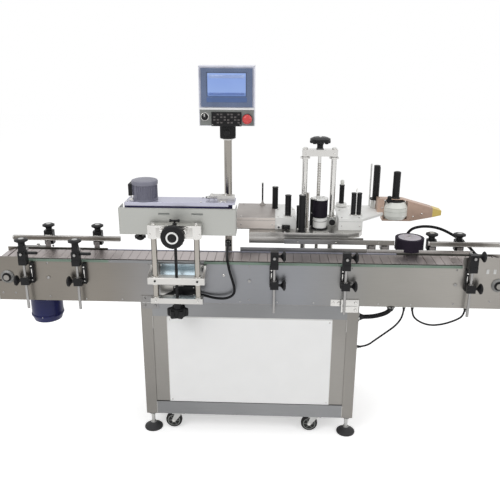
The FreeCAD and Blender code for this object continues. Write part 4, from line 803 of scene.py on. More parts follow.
def detail_panel():
    made = Shape()
    left, right, low = -219.5, 13.5, 1409
    made.box((-187, -19), (142.2, 143.6), (1507, 1527), "navy_glass", 0.6)
    made.box((-184, -22), (142.6, 144.6), (1528.4, 1532.6), "navy_glass", 0.4)
    for x0, x1, z0, z1 in ((-187, -182.6, 1530, 1627), (-23.4, -19, 1530, 1627), (-187, -19, 1624.2, 1629)):
        made.box((x0, x1), (142.2, 145.5), (z0, z1), "bezel_dark", 0.8)
    made.place("screen_surround", "panel_box", "bezel")

    picture = Shape()
    picture.box((-176, -30), (144.5, 144.95), (1604, 1617), "glass_pale", 0.2)
    picture.box((-176, -30), (144.5, 144.95), (1537, 1546), "glass_dark", 0.2)
    picture.place("screen_picture", "panel_box", "bezel")

    keys = Shape()
    for column in range(8):
        for row in range(4):
            x = -160 + column * 14.6
            z = 1420 + row * 11.4
            keys.box((x, x + 9.4), (141.2, 142.6), (z, z + 6.6), "key_cap" if (column + row) % 3 else "grip", 1.4)
    keys.box((-168, -42), (145.6, 149), (1407.6, 1466.4), "grip", 1.2)
    for x in (-163.5, -46.5):
        for z in (1413.5, 1461):
            keys.button((x, 145.6, z), "-y", 2.0, "zinc", 1.0)
    keys.place("keypad_caps", "panel_box", "black_plastic")

    shell = Shape()
    for x0, x1, z0, z1 in ((left, left + 4, low, low + 244), (right - 4, right, low, low + 244)):
        shell.box((x0 - 0.6, x1 + 0.6), (146.5, 151), (z0 + 66, z1), "shell", 1.2)
    shell.box((left, right), (146.0, 151), (low + 67, low + 75), "white", 1.0)
    shell.box((left, right), (146.5, 151), (low + 239, low + 244.6), "shell", 1.2)
    shell.box((left + 10, right - 10), (229.5, 231.5), (low + 12, low + 232), "shell", 1.0)
    for x in (left + 18, right - 18):
        for z in (low + 20, low + 224):
            shell.button((x, 231.5, z), "y", 3.4, "bright")
    # painted shade: dark grey slits stand for the shade in the vent openings
    for row in range(8):
        z = low + 160 + row * 7
        shell.box((-140, -66), (231.4, 232.4), (z, z + 2.6), "fascia", 0.3)
    shell.place("panel_box_trim", "panel_box", "panel_paint")

    collar = Shape()
    for i in range(28):
        a = 2 * math.pi * i / 28
        collar.box((-103 + 33.0 * math.cos(a) - 1.3, -103 + 33.0 * math.cos(a) + 1.3),
                   (195 + 33.0 * math.sin(a) - 1.2, 195 + 33.0 * math.sin(a) + 1.2), (1358, 1402), "grip", 0.5,
                   math.degrees(a))
    collar.ring((-103, 195, 1351.4), "z", 17.4, 34.2, 5, "black", 48)
    collar.ring((-103, 195, 1403), "z", 30, 34.2, 5.4, "black", 48)
    collar.lathe((-103, 162.4, 1378), "-y", [(6, 0), (6, 3), (11, 4), (12, 6), (12, 13), (10, 15), (0, 15.6)],
                 "grip", 24)
    collar.place("collar_ribs", "panel_box", "black_plastic")

    controls = Shape()
    controls.ring((-17, 148, 1439), "-y", 9, 21.5, 2.0, "black", 40)
    controls.lathe((-17, 150, 1439), "-y", [(18.6, 14.0), (20.2, 16.5), (20.4, 20), (18, 24.2), (12, 27.2),
                                            (0, 28.6)], "red", 48)
    controls.place("stop_button_marks", "stop_button", "red_plastic")
    knob = Shape()
    knob.ring((-196, 147.9, 1447), "-y", 11, 17.4, 3.4, "bright", 40)
    knob.lathe((-196, 150, 1447), "-y", [(14.6, 3.5), (15.3, 5), (14, 9.2), (10, 10), (0, 10)], "black", 40)
    knob.box((-199.6, -192.4), (130.2, 140), (1433.6, 1460.4), "black", 1.8)
    knob.box((-198.4, -193.6), (129.8, 131), (1449, 1460), "zinc", 0.6)
    knob.place("selector_grip", "selector_switch", "black_plastic")

    mast = Shape()
    mast.lathe((-103, 195, 657), "z", [(40.4, 0.2), (40.4, 7.6), (39.4, 8.4), (22, 9.6), (18.4, 13), (17.3, 20),
                                       (17.05, 20)], "bright", 56)
    for i in range(4):
        a = math.radians(45 + 90 * i)
        mast.socket((-103 + 31 * math.cos(a), 195 + 31 * math.sin(a), 664.6), "z", 5, 5, "bright")
    mast.ring((-103, 195, 1343.5), "z", 17.05, 21, 7.4, "bright", 40)
    mast.place("mast_foot", "frame", "chrome")


def detail_wrap():
    wx, cy = -303, -80
    lift = Shape()
    for side in (-1, 1):
        x = wx + side * 89
        lift.ring((x, cy, 1040), "z", 4, 11, 1.4, "bright", 32)
        lift.hex((x, cy, 1040.5), "z", 8.5, 6.5, "bright")
        lift.lathe((x, cy, 694.4), "-z", [(10, -0.2), (10, 2.6), (8.6, 3.6), (0, 4)], "bright", 28)
        lift.ring((x, cy, 719), "z", 12.1, 16.5, 4, "bright", 32)
        lift.ring((x, cy, 979), "z", 12.1, 15.5, 5, "bright", 32)
        lift.socket((x + 13 * side, -100, 1003), "-y", 4.2, 4, "bright")
        lift.socket((x, -100, 707), "-y", 4.2, 4, "bright")
    for x0, x1, z0, z1 in ((-412, -194, 984.5, 1039.5),):
        lift.box((x0 + 34, x1 - 34), (-101.0, -99), (z0 + 8, z1 - 8), "pale", 1.4)
    lift.ring((wx, cy, 1040), "z", 4.1, 9, 5, "black", 28)
    for end in (-15, 15):
        lift.lathe((wx + end, cy, 1056), "x" if end > 0 else "-x", [(4.6, -2), (6.4, 0), (6.8, 3), (5.4, 6), (0, 7)],
                   "black", 24)
    lift.place("lift_block_fittings", "wrap_lift", "stainless")

    slide = Shape()
    for side in (-1, 1):
        x = wx + side * 115
        for z in (775, 830):
            slide.hex((x - side * 14, -1.2, z), "-y", 5.6, 5.4, "bright")
        slide.prism([(x - side * 20 - 6, 767), (x - side * 20 + 6, 767), (x - side * 20 + 6, 838),
                     (x - side * 20 - 6, 838)], "y", -2.4, 0.1, "pale", 0.4)
    for x in (wx - 89, wx + 89):
        slide.ring((x, cy, 811.8), "z", 12.3, 18, 3.4, "bright", 32)
        slide.ring((x, cy, 778.6), "z", 12.3, 18, 3.4, "bright", 32)
        slide.socket((x, -100, 797), "-y", 4.4, 4, "black")
    slide.box((-419, -187), (-101.2, -99.2), (808.6, 812.4), "bright", 0.6)
    for x in (-382, -224):
        for z in (760, 832):
            slide.button((x, -3, z), "-y", 3.4, "bright")
    slide.box((-329, -233), (-25.4, -23.6), (701, 745), "black", 1.6)
    for x in (-322, -240):
        for z in (706, 740):
            slide.button((x, -25.4, z), "-y", 3, "zinc", 1.6)
    slide.place("bracket_fittings", "frame", "stainless")

    star = Shape()
    for i in range(6):
        a = math.radians(60 * i)
        star.lathe((wx + 35 * math.cos(a), cy + 35 * math.sin(a), 633.4), "z",
                   [(7, 0), (9.4, 1.6), (10.4, 6), (10.4, 28), (9.4, 32.4), (7, 33.9)], "grip", 28)
    star.lathe((wx, cy, 632.6), "z", [(0, -0.2), (11, 0.2), (12, 1.4), (12, 4)], "black", 28)
    star.hex((wx, cy, 632.8), "-z", 6, 3.6, "bright")
    star.lathe((wx, cy, 667), "z", [(30, 0), (28, 2.4), (18, 4), (16, 8), (15.4, 26)], "grip", 36)
    for i in range(45):
        star.ring((wx, cy, 728 + i * 5.6), "z", 5.8, 6.55, 3.2, "black", 14) if not 9 < i < 16 else None
    star.place("star_knob_lobes", "lift_star_knob", "black_plastic")

    hand = Shape()
    z = 1006
    low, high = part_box("depth_knob")
    front = (low.y - PLATE_FACE) * 1000
    hand.lathe((wx, front + 27, z), "-y", [(40, -0.5), (46, 0.6), (48.1, 4), (48.1, 17), (46, 21.4), (42, 23.2),
                                          (36, 23.4), (30, 22.6), (25.6, 22.4)], "black", 64)
    hand.ring((wx, front + 4.8, z), "-y", 18.6, 25.4, 5.6, "silver", 56)
    hand.lathe((wx, front + 4.8, z), "-y", [(18.4, 0), (18.4, 5.2), (16, 6.6), (6, 7), (5, 6), (0, 5.6)], "black", 40)
    for i in range(20):
        a = 2 * math.pi * i / 20
        hand.lathe((wx + 46.4 * math.cos(a), front + 24.5, z + 46.4 * math.sin(a)), "-y",
                   [(2.0, 0), (3.1, 1), (3.1, 13), (2.0, 15)], "black", 12)
    hand.place("hand_knob_rim", "depth_knob", "black_plastic")

    head = Shape()
    top = 1120
    for x in (-507, -460, -200, -120, -98):
        for y in (-24, 52):
            head.socket((x, y, top), "z", 3.8, 3.6, "bright")
    head.prism([(-516, -32.6), (-86, -32.6), (-86, -30), (-516, -30)], "z", 1104, 1119.6, "lilac", 0.8)
    motor_x, motor_y = -438, 16
    for i in range(36):
        a = 2 * math.pi * i / 36
        if math.cos(a) < -0.6:
            continue
        head.box((motor_x + 50.4 * math.cos(a) - 1.7, motor_x + 50.4 * math.cos(a) + 1.7),
                 (motor_y + 50.4 * math.sin(a) - 0.9, motor_y + 50.4 * math.sin(a) + 0.9), (1131, 1184), "motor",
                 0.5, math.degrees(a))
    head.lathe((motor_x, motor_y, 1186), "z", [(50, -1), (54, 0), (55, 2), (55, 12.5), (53.4, 16.4), (48, 18.4),
                                              (30, 18.8), (0, 18.9)], "motor_top", 56)
    head.lathe((motor_x, motor_y, 1120), "z", [(53, 0), (53, 7), (50.5, 9)], "motor", 56)
    for i in range(4):
        a = math.radians(45 + 90 * i)
        head.socket((motor_x + 38 * math.cos(a), motor_y + 38 * math.sin(a), 1202.4), "z", 3.0, 2.0, "zinc")
    head.box((-503, -487), (-11, 43), (1140, 1190), "black", 2.2)
    for z in (1146, 1184):
        for y in (-6, 38):
            head.button((-503, y, z), "-x", 2.4, "zinc", 1.2)
    head.box((-166, -94), (0, 32), (1138, 1143.6), "pale", 1.2)
    for x in (-158, -101):
        for y in (6, 26):
            head.socket((x, y, 1143.2), "z", 3.6, 3.2, "bright")
    head.hex((-146, 16, 1131), "-x", 8, 6, "bright")
    head.hex((-168, 16, 1131), "-x", 7, 9, "zinc")
    for i in range(8):
        head.ring((-184 + i * 2.4, 16, 1131), "x", 4.8, 5.7, 1.3, "zinc", 16)
    for x in (-486, -113):
        head.ring((x, 12, 1119.8), "z", 9, 21, 2.2, "bright", 40)
        head.hex((x, 12, 1121.6), "z", 8.4, 6, "bright")
    for side in (-1, 1):
        x = wx + side * 62
        for z in (998, 1030):
            head.socket((x, -53.4, z), "-y", 4.2, 3.8, "bright")
    for x in (wx - 47, wx + 47):
        head.lathe((x, -126.6, 1022), "-y", [(8, -1), (8, 0.6), (6.6, 1.8), (0, 2.2)], "bright", 24)
        head.ring((x, -103.4, 1022), "-y", 8.1, 13.5, 3.6, "bright", 28)
        head.ring((x, -56.6, 1022), "-y", 8.1, 13.5, 3.6, "bright", 28)
    for i in range(10):
        a = 2 * math.pi * i / 10
        head.lathe((-461 + 21 * math.cos(a), -18 + 21 * math.sin(a), 971), "-z",
                   [(2.4, -0.5), (3.2, 1), (3.0, 7), (1.6, 11)], "black", 12)
    head.place("wrap_head_fittings", "wrap_carriage", "stainless")

    cover = Shape()
    for x in (-375, -237):
        cover.prism([(x - 1, 1068.4), (x + 47, 1068.4), (x + 47, 1070.4), (x - 1, 1070.4)], "y", -46, -44.6,
                    "cover", 0.3)
        cover.prism([(x - 1, 1079), (x + 47, 1079), (x + 47, 1081), (x - 1, 1081)], "y", -46, -44.6, "cover", 0.3)
        # painted shade: a dark grey sheet at the back of each grip slot
        cover.box((x + 1, x + 45), (-44.6, -43.5), (1071, 1078), "fascia", 0.2)
    cover.box((-541.4, -55.6), (-45.8, -44), (984, 987), "cover", 0.8)
    cover.box((-541.4, -55.6), (-45.8, -44), (1094.6, 1097.4), "cover", 0.8)
    for x in (-541.3, -57.7):
        cover.box((x, x + 3), (-45.8, 33.2), (984, 1097.4), "cover", 0.8)
    for z in (1000, 1082):
        for y in (-20, 18):
            cover.button((-541.3, y, z), "-x", 3.2, "bright")
            cover.button((-54.7, y, z), "x", 3.2, "bright")
    for x in (-520, -78):
        cover.button((x, -45, 991.5), "-y", 3, "bright")
    cover.place("cover_folds", "wrap_carriage", "stainless")

    belt = Shape()
    for i in range(40):
        x = -486 + i * 373 / 39
        for y in (-22.6, 46.6):
            belt.box((x - 1.4, x + 1.4), (y - 0.5, y + 0.5), (1002.5, 1106.5), "navy", 0.3)
    for x0, side in ((-486, -1), (-113, 1)):
        for i in range(9):
            a = math.pi / 2 + side * -math.pi * (i + 0.5) / 9 if side < 0 else math.pi / 2 - math.pi * (i + 0.5) / 9
            a = math.pi / 2 + math.pi * (i + 0.5) / 9 if side < 0 else a
            belt.box((x0 + 40.3 * math.cos(a) - 0.5, x0 + 40.3 * math.cos(a) + 0.5),
                     (12 + 40.3 * math.sin(a) - 1.4, 12 + 40.3 * math.sin(a) + 1.4), (1002.5, 1106.5), "navy", 0.3,
                     math.degrees(a))
    belt.place("belt_ribs", "wrap_carriage", "navy_belt")


def detail_label_stand():
    sx, sy = 306, 340
    made = Shape()
    for side in (-1, 1):
        x = sx + side * 65.5
        made.ring((x, sy, 671), "z", 17.6, 27, 9, "bright", 40)
        made.socket((x, sy - 26.4, 675.5), "-y", 3.4, 3, "black")
        made.ring((x, sy, 1240), "z", 17.6, 23, 7, "bright", 40)
        made.hex((x, sy, 1281.8), "z", 10, 8, "bright")
        for dy in (-34, 34):
            made.hex((x + side * 30, sy + dy, 671), "z", 7.5, 7.5, "bright")
        made.socket((x, sy - 21, 1265), "-y", 4.4, 4, "bright")
    made.ring((sx, sy, 1281.8), "z", 8.3, 17, 4.6, "casting", 36)
    made.place("stand_fittings", "frame", "chrome")

    wheel = Shape()
    low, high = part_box("lift_handwheel")
    top = high.z * 1000
    for i in range(8):
        a = 2 * math.pi * i / 8
        wheel.lathe((sx + 38 * math.cos(a), sy + 38 * math.sin(a), top - 27), "z",
                    [(6, 0), (8.6, 1.6), (9.4, 6), (9.0, 13), (6, 17)], "grip", 24)
    wheel.lathe((sx, sy, top), "z", [(31, -2), (29, 0.2), (20, 1.6), (12, 2.2), (0, 2.4)], "black", 48)
    wheel.lathe((sx, sy, top + 1.8), "z", [(7, 0), (6.6, 1.4), (4, 2), (0, 1.2)], "silver", 28)
    for i in range(70):
        z = 690 + i * 7.6
        if not 898 < z < 972:
            wheel.ring((sx, sy, z), "z", 7.8, 8.7, 4.2, "mast", 16)
    wheel.place("handwheel_lobes", "lift_handwheel", "black_plastic")


def detail_label_head():
    base, deck = 925, 980
    made = Shape()
    made.box((-75, -60.3), (250.2, 499.6), (925.2, 980), "beige", 0.8)
    made.box((-75, 107), (250.4, 499.4), (979.8, 981.2), "taupe", 0.5)
    made.box((-75, 107), (248.6, 250.2), (925.4, 979.6), "beige", 0.5)
    # painted shadow: a dark taupe line across the front face under the white band
    made.box((-75, 107), (248.2, 250.2), (966.4, 968.2), "taupe", 0.3)
    made.box((-75, 107), (247.8, 250.2), (925, 929), "taupe", 0.3)
    made.prism([(108.4, 925.4), (202.6, 925.4), (202.6, 979.8), (108.4, 979.8)], "y", 248.8, 250.2, "cream", 0.5)
    for x in (-50, 96):
        for y in (262, 488):
            made.socket((x, y, 981), "z", 3.8, 3.4, "bright")
    for x in (120, 192):
        for y in (262, 395):
            made.socket((x, y, 980), "z", 3.8, 3.4, "bright")
    for x in (-50, 94):
        made.button((x, 248.6, 947), "-y", 3.6, "bright")
    made.place("left_deck_plates", "label_head", "white_paint")

    block = Shape()
    block.box((113, 137), (237, 249), (931, 946), "cream", 1.6)
    block.box((139, 176), (234, 249), (929, 948), "black", 2.4)
    block.ring((124, 237, 938.5), "-y", 2.0, 5.0, 1.2, "black", 24)
    block.lathe((157, 234, 938.5), "-y", [(8, 0), (9.4, 1.5), (9.4, 9), (7.6, 11), (0, 11.4)], "grip", 28)
    for x in (113.8, 175.2):
        block.button((x, 240, 948), "z", 2.0, "zinc", 1.0)
    block.box((-10.6, 507.4), (199.2, 203), (874, 904.6), "pale", 0.8)
    for x in range(20, 420, 66):
        block.socket((x, 211, base), "z", 3.6, 3.2, "bright")
    for x in (30, 150, 420, 480):
        block.socket((x, 470, base), "z", 3.6, 3.2, "bright")
    for x in (240.5, 306, 371.5):
        block.ring((x, 340, 964.8), "z", 18.2 if x != 306 else 9, 26 if x != 306 else 17.4, 3.2, "bright", 40)
    block.lathe((371.5, 308.8, 950), "-y", [(5, 0), (5, 10), (12, 12), (14, 16), (14, 22), (11, 25), (0, 26)],
                "grip", 28)
    block.place("base_plate_fittings", "label_head", "stainless")

    posts = Shape()
    for x, y, low, top, radius, cap in (
            (469, 316, deck, 1085, 11, "black"), (495, 316, deck, 1085, 11, "black"), (44, 478, deck, 1090, 4, "zinc"),
            (166, 285, deck, 1078, 14, "black"), (429, 470, deck, 1087, 12, "black"),
            (216, 274, base, 1031, 11, "black")):
        posts.ring((x, y, low), "z", radius + 0.05, radius + 6, 4.5, "bright", 36)
        posts.lathe((x, y, top), "z", [(radius, -3), (radius + 1.2, -2.4), (radius + 1.2, 1), (radius * 0.7, 2.2),
                                       (radius * 0.25, 2.4), (0, 1.4)], cap, 32)
        for i in range(3):
            posts.ring((x, y, low + (top - low) * (0.2 + 0.3 * i)), "z", radius - 0.2, radius + 0.55, 1.8, cap, 32)
    posts.lathe((482, 316, deck), "z", [(4.4, 0), (4.4, 126), (3.2, 128), (0, 128.4)], "polished", 20)
    posts.ring((482, 316, deck), "z", 4.4, 9, 6, "bright", 24)
    posts.lathe((429, 470, 1087), "z", [(8, 0), (9.5, 4), (9.5, 20), (6, 25), (0, 26)], "dish", 28)
    posts.ring((429, 470, deck + 3), "z", 12.2, 26, 14, "cream", 40)
    posts.lathe((254, 258, 1095), "z", [(6, -1), (6.6, 0), (6.6, 4), (0, 5.4)], "bright", 24)
    posts.ring((254, 258, base), "z", 6.1, 13, 8, "bright", 28)
    for x, y in ((44, 478),):
        posts.lathe((x, y, deck), "z", [(15, 0), (15, 4), (8, 9), (5.2, 14), (4.2, 20)], "taupe", 28)
    posts.place("guide_post_caps", "label_head", "black_plastic")

    rollers = Shape()
    rollers.ring((228, 215, 1092), "z", 8, 16.2, 5.4, "black", 40)
    rollers.ring((228, 215, 925.4), "z", 12, 16.4, 5, "black", 40)
    rollers.place("tall_roller_rims", "tall_roller", "black_plastic")
    pin = Shape()
    for x, y, z, body_slot in ((228, 215, 1101.4, 0), (277.1, 306.4, 1064.4, 0)):
        pin.hex((x, y, z - 4.5), "z", 6, 6, "bright")
    pin.place("roller_nuts", "label_head", "chrome")
    infeed = Shape()
    for z in (981.4, 1082):
        infeed.ring((106, 417, z), "z", 9, 15.0, 4.0, "black", 36)
    infeed.place("infeed_roller_rims", "infeed_roller", "black_plastic")
    nip = Shape()
    for z in (926.4, 990, 1056):
        nip.ring((277.1, 306.4, z), "z", 8.6, 9.5, 3.4, "zinc", 32)
    nip.place("nip_roller_rings", "nip_roller", "black_plastic")

    drum = Shape()
    drum.ring((313, 284, 1062.5), "z", 10, 36.4, 6.9, "silver", 64)
    drum.lathe((313, 284, 1069.2), "z", [(9, 0), (9, 5), (7, 6.6), (0, 7)], "silver", 36)
    for i in range(4):
        a = math.radians(45 + 90 * i)
        drum.socket((313 + 23 * math.cos(a), 284 + 23 * math.sin(a), 1069), "z", 3.4, 2.6, "zinc")
    for i in range(60):
        a = 2 * math.pi * i / 60
        drum.box((313 + 33.9 * math.cos(a) - 0.5, 313 + 33.9 * math.cos(a) + 0.5),
                 (284 + 33.9 * math.sin(a) - 1.0, 284 + 33.9 * math.sin(a) + 1.0), (983, 1060), "rim", 0.3,
                 math.degrees(a))
    drum.place("drum_top_ring", "drive_drum", "black_plastic")
    seat = Shape()
    seat.ring((313, 284, 925.2), "z", 30, 38, 6, "black", 48)
    seat.ring((313, 284, 960), "z", 31, 33.4, 4, "zinc", 48)
    seat.place("drum_seat_rings", "label_head", "white_paint")

    right = Shape()
    for x in (412, 492):
        for y in (262, 395, 488):
            right.socket((x, y, deck), "z", 3.8, 3.4, "bright")
    right.prism([(399, 925.4), (506.6, 925.4), (506.6, 979.8), (399, 979.8)], "y", 248.8, 250.2, "cream", 0.5)
    right.prism([(399, 966), (506.6, 966), (506.6, 967.6), (399, 967.6)], "y", 248.2, 250.2, "zinc", 0.3)
    right.button((412, 248.8, 946), "-y", 3.4, "bright")
    right.button((494, 248.8, 946), "-y", 3.4, "bright")
    right.place("right_deck_plates", "label_head", "white_paint")


def detail_unwind():
    x, y = 676, 400
    hub = Shape()
    for z, r in ((950, 50.5), (985, 60.3), (1003, 60.3)):
        hub.ring((x, y, z), "z", r - 1.2, r + 0.5, 1.6, "dish_dark", 64)
    hub.ring((x, y, 1027.6), "z", 12, 46, 1.6, "dish", 56)
    for i in range(6):
        a = 2 * math.pi * i / 6
        hub.socket((x + 43 * math.cos(a), y + 43 * math.sin(a), 1028.6), "z", 2.4, 1.4, "zinc")
    hub.place("unwind_hub_rings", "label_head", "white_paint")

    spindle = Shape()
    spindle.ring((x, y, 1034.6), "z", 12, 41.8, 2.4, "black", 56)
    for i in range(3):
        a = 2 * math.pi * i / 3 + 0.4
        spindle.box((x + 14.6 * math.cos(a) - 1.8, x + 14.6 * math.cos(a) + 1.8),
                    (y + 14.6 * math.sin(a) - 2.6, y + 14.6 * math.sin(a) + 2.6), (1060, 1160), "grip", 1.0,
                    math.degrees(a))
    spindle.lathe((x, y, 1167), "z", [(14, -1), (14.6, 0), (14, 3), (9, 4.4), (0, 4.6)], "grip", 36)
    spindle.place("unwind_spindle_ribs", "unwind_spindle", "black_plastic")

    rewind = Shape()
    rx, ry = 589, 453
    for i in range(3):
        a = 2 * math.pi * i / 3
        rewind.box((rx + 15.2 * math.cos(a) - 1.6, rx + 15.2 * math.cos(a) + 1.6),
                   (ry + 15.2 * math.sin(a) - 2.4, ry + 15.2 * math.sin(a) + 2.4), (1034, 1180), "grip", 0.9,
                   math.degrees(a))
    rewind.lathe((rx, ry, 1185), "z", [(15, -1), (15.8, 0), (15, 3), (8, 4.6), (0, 4.8)], "grip", 36)
    rewind.ring((rx, ry, 1026), "z", 15, 26.4, 2.6, "black", 44)
    rewind.place("rewind_spindle_ribs", "rewind_spindle", "black_plastic")

    arm = Shape()
    for px, pz in ((612, 1000), (612, 962), (760, 960), (800, 975)):
        arm.button((px, 375, pz), "-y", 3.8, "bright")
    arm.prism([(590.6, 1040), (705, 1040), (848, 1001), (848, 1003.6), (706, 1043), (590.6, 1043)], "y", 374.6,
              425.4, "tan", 0.5)
    arm.box((630, 652), (360, 374), (1030, 1046), "black", 2.0)
    arm.lathe((641, 362, 1046), "z", [(9, 0), (10, 2), (10, 12), (7, 15), (0, 16)], "black", 24)
    arm.tube([(641, 368, 1030), (641, 372, 1018), (640, 374.4, 1006), (638, 374.6, 990)], 3.2, "black", 12)
    arm.place("unwind_arm_fittings", "label_head", "tan_plate")


def knob_caps(made, x, y, z, axis, radius):
    """Flutes round a clamp knob and a bright insert in its end."""
    ways = {"x": ((0, 1, 0), (0, 0, 1), (1, 0, 0)), "-x": ((0, 1, 0), (0, 0, 1), (-1, 0, 0)),
            "z": ((1, 0, 0), (0, 1, 0), (0, 0, 1))}[axis]
    side, other, up = (Vector(way) for way in ways)
    for i in range(10):
        a = 2 * math.pi * i / 10
        spot = Vector((x, y, z)) + (side * math.cos(a) + other * math.sin(a)) * (radius - 1.6) + up * 20.4
        made.lathe(spot, tuple(up), [(1.6, 0), (2.6, 1), (2.6, 6.4), (1.6, 7.4)], "black", 12)
    made.lathe(Vector((x, y, z)) + up * 30.8, tuple(up), [(radius * 0.42, 0), (radius * 0.4, 0.8), (0, 0.9)], "zinc",
               20)


def detail_brackets():
    made = Shape()
    bright = Shape()
    y = -34
    low, block_low = 746, 837
    knob_radius = 22
    for x, right, rod_z in ((-969, False, 889), (-739, False, 889), (107, True, 889), (410, True, 889),
                            (935, True, 902)):
        bar_x = x - 12 if right else x + 24
        for z in (low + 14, low + 78):
            bright.socket((bar_x, -19, z), "-y", 3.8, 3.6, "bright")
        bright.prism([(bar_x - 2.2, low + 28), (bar_x + 2.2, low + 28), (bar_x + 2.2, low + 66),
                      (bar_x - 2.2, low + 66)], "y", -19.5, -18.6, "bright", 0.4)
        bright.lathe((x, -58, rod_z), "-y", [(5, -0.4), (5.6, 0.2), (5.2, 1.6), (0, 2.0)], "rod", 24)
        bright.lathe((x, y, 634), "-z", [(5.8, -1), (5.4, 0.8), (0, 1.4)], "rod", 24)
        bright.ring((x, y, low + 34), "z", 6.2, 11, 2.2, "rod", 28)
        bright.ring((x, y, low - 2), "z", 6.2, 11, 2.2, "rod", 28)
        made.socket((x - 12 if right else x + 12, -49.2, low + 17), "-y", 3.6, 2.6, "black")
        made.box((x - 17.4, x + 17.4), (-50.4, -48.6), (block_low + 4, block_low + 26), "black", 1.2)
        if right:
            knob_caps(made, x + 19, y, low + 16, "x", knob_radius)
            knob_caps(made, x + 17, y, rod_z + 4, "x", knob_radius)
        else:
            knob_caps(made, x - 17, y, low + 16, "-x", knob_radius)
            knob_caps(made, x, y, block_low + 86, "z", knob_radius + 6)
            made.rod((x, y, block_low + 85.8), "z", 14.5, 14, "black")
            made.lathe((x + 57, y, block_low + 53), "x", [(4, -3), (6.4, -1), (6.6, 5), (4, 8), (0, 8.4)], "black",
                       20)
    made.place("clamp_knob_flutes", "frame", "black_plastic")
    bright.place("clamp_bright_parts", "frame", "chrome")


def detail_guides():
    for name, places, start, end in (("left_guide_rail", (-925, -700), -1085, -592),
                                     ("right_guide_rail", (808, 930), 800, 1105)):
        made = Shape()
        low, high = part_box(name)
        rail = 896
        base = high.z * 1000 - 31
        made.prism([(start, rail - 11), (end, rail - 11), (end, rail - 7), (start, rail - 7)], "y", 153.4, 155.2,
                   "pale", 0.4)
        made.prism([(start, rail + 7), (end, rail + 7), (end, rail + 11), (start, rail + 11)], "y", 153.4, 155.2,
                   "pale", 0.4)
        for x in places:
            knob_caps(made, x, 181, base, "z", 27)
            made.rod((x, 181, base - 0.2), "z", 14, 13.5, "black")
            made.ring((x, 181, base - 5), "z", 14, 22.5, 5.2, "black", 36)
            made.box((x - 17.5, x + 17.5), (165, 167.5), (rail - 11.5, rail + 11.5), "bright", 1.5)
            for z in (rail - 5, rail + 5):
                made.button((x + 12, 165, z), "-y", 2.8, "zinc", 1.4)
            made.ring((x, 196, 874), "y", 6.1, 10, 3, "zinc", 24)
        made.lathe((start if start < 0 else end, 160, rail), "-x" if start < 0 else "x",
                   [(5, -4), (7, -1), (7, 3), (4, 5), (0, 5.4)], "pale", 24)
        made.place(name + "_fittings", name, "stainless")

    wheel = Shape()
    x, y = 716, 205
    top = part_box("separator_wheel")[1].z * 1000
    wheel.lathe((x, y, top - 0.6), "z", [(51, 0), (50.4, 1.4), (40, 1.8), (20, 2.2), (0, 2.2)], "top_cap", 64)
    wheel.ring((x, y, top - 12), "z", 50.5, 64.6, 12.3, "rim", 72)
    wheel.ring((x, y, top - 54), "z", 56, 64.6, 10, "rim", 72)
    wheel.hex((x, y, top + 1.2), "z", 7, 6, "zinc")
    for i in range(4):
        a = math.radians(45 + 90 * i)
        wheel.socket((x + 36 * math.cos(a), y + 36 * math.sin(a), top + 1), "z", 3.2, 2.2, "zinc")
    wheel.place("separator_wheel_top", "separator_wheel", "black_plastic")

    motor = Shape()
    for i in range(24):
        a = 2 * math.pi * i / 24
        motor.box((x + 36.2 * math.cos(a) - 1.4, x + 36.2 * math.cos(a) + 1.4),
                  (y + 36.2 * math.sin(a) - 1.0, y + 36.2 * math.sin(a) + 1.0), (740, 808), "black", 0.5,
                  math.degrees(a))
    motor.lathe((x, y, 732), "-z", [(36, -3), (36.6, 0), (34, 3.4), (20, 4.6), (0, 4.8)], "black", 44)
    motor.ring((x, y, 806), "z", 30, 39, 8, "casting", 48)
    motor.place("separator_motor_ribs", "frame", "black_plastic")

    rear = Shape()
    for px in (-925, -700, 540, 600, 808, 930):
        for z in (772, 800):
            rear.hex((px, 152, z), "y", 5.2, 5.4, "bright")
    for px in (698, 734):
        for z in (772, 800):
            rear.hex((px, 152, z), "y", 5.2, 5.4, "bright")
    for px in (210, 380, 570):
        rear.button((px, 154, 896), "-y", 3, "bright", 1.4)
    rear.box((-48, 520), (150.2, 152.6), (838, 869), "plate", 0.6)
    rear.box((520.4, 985), (150.2, 152.6), (842, 868), "pale", 0.6)
    rear.place("rear_support_bolts", "frame", "chrome")


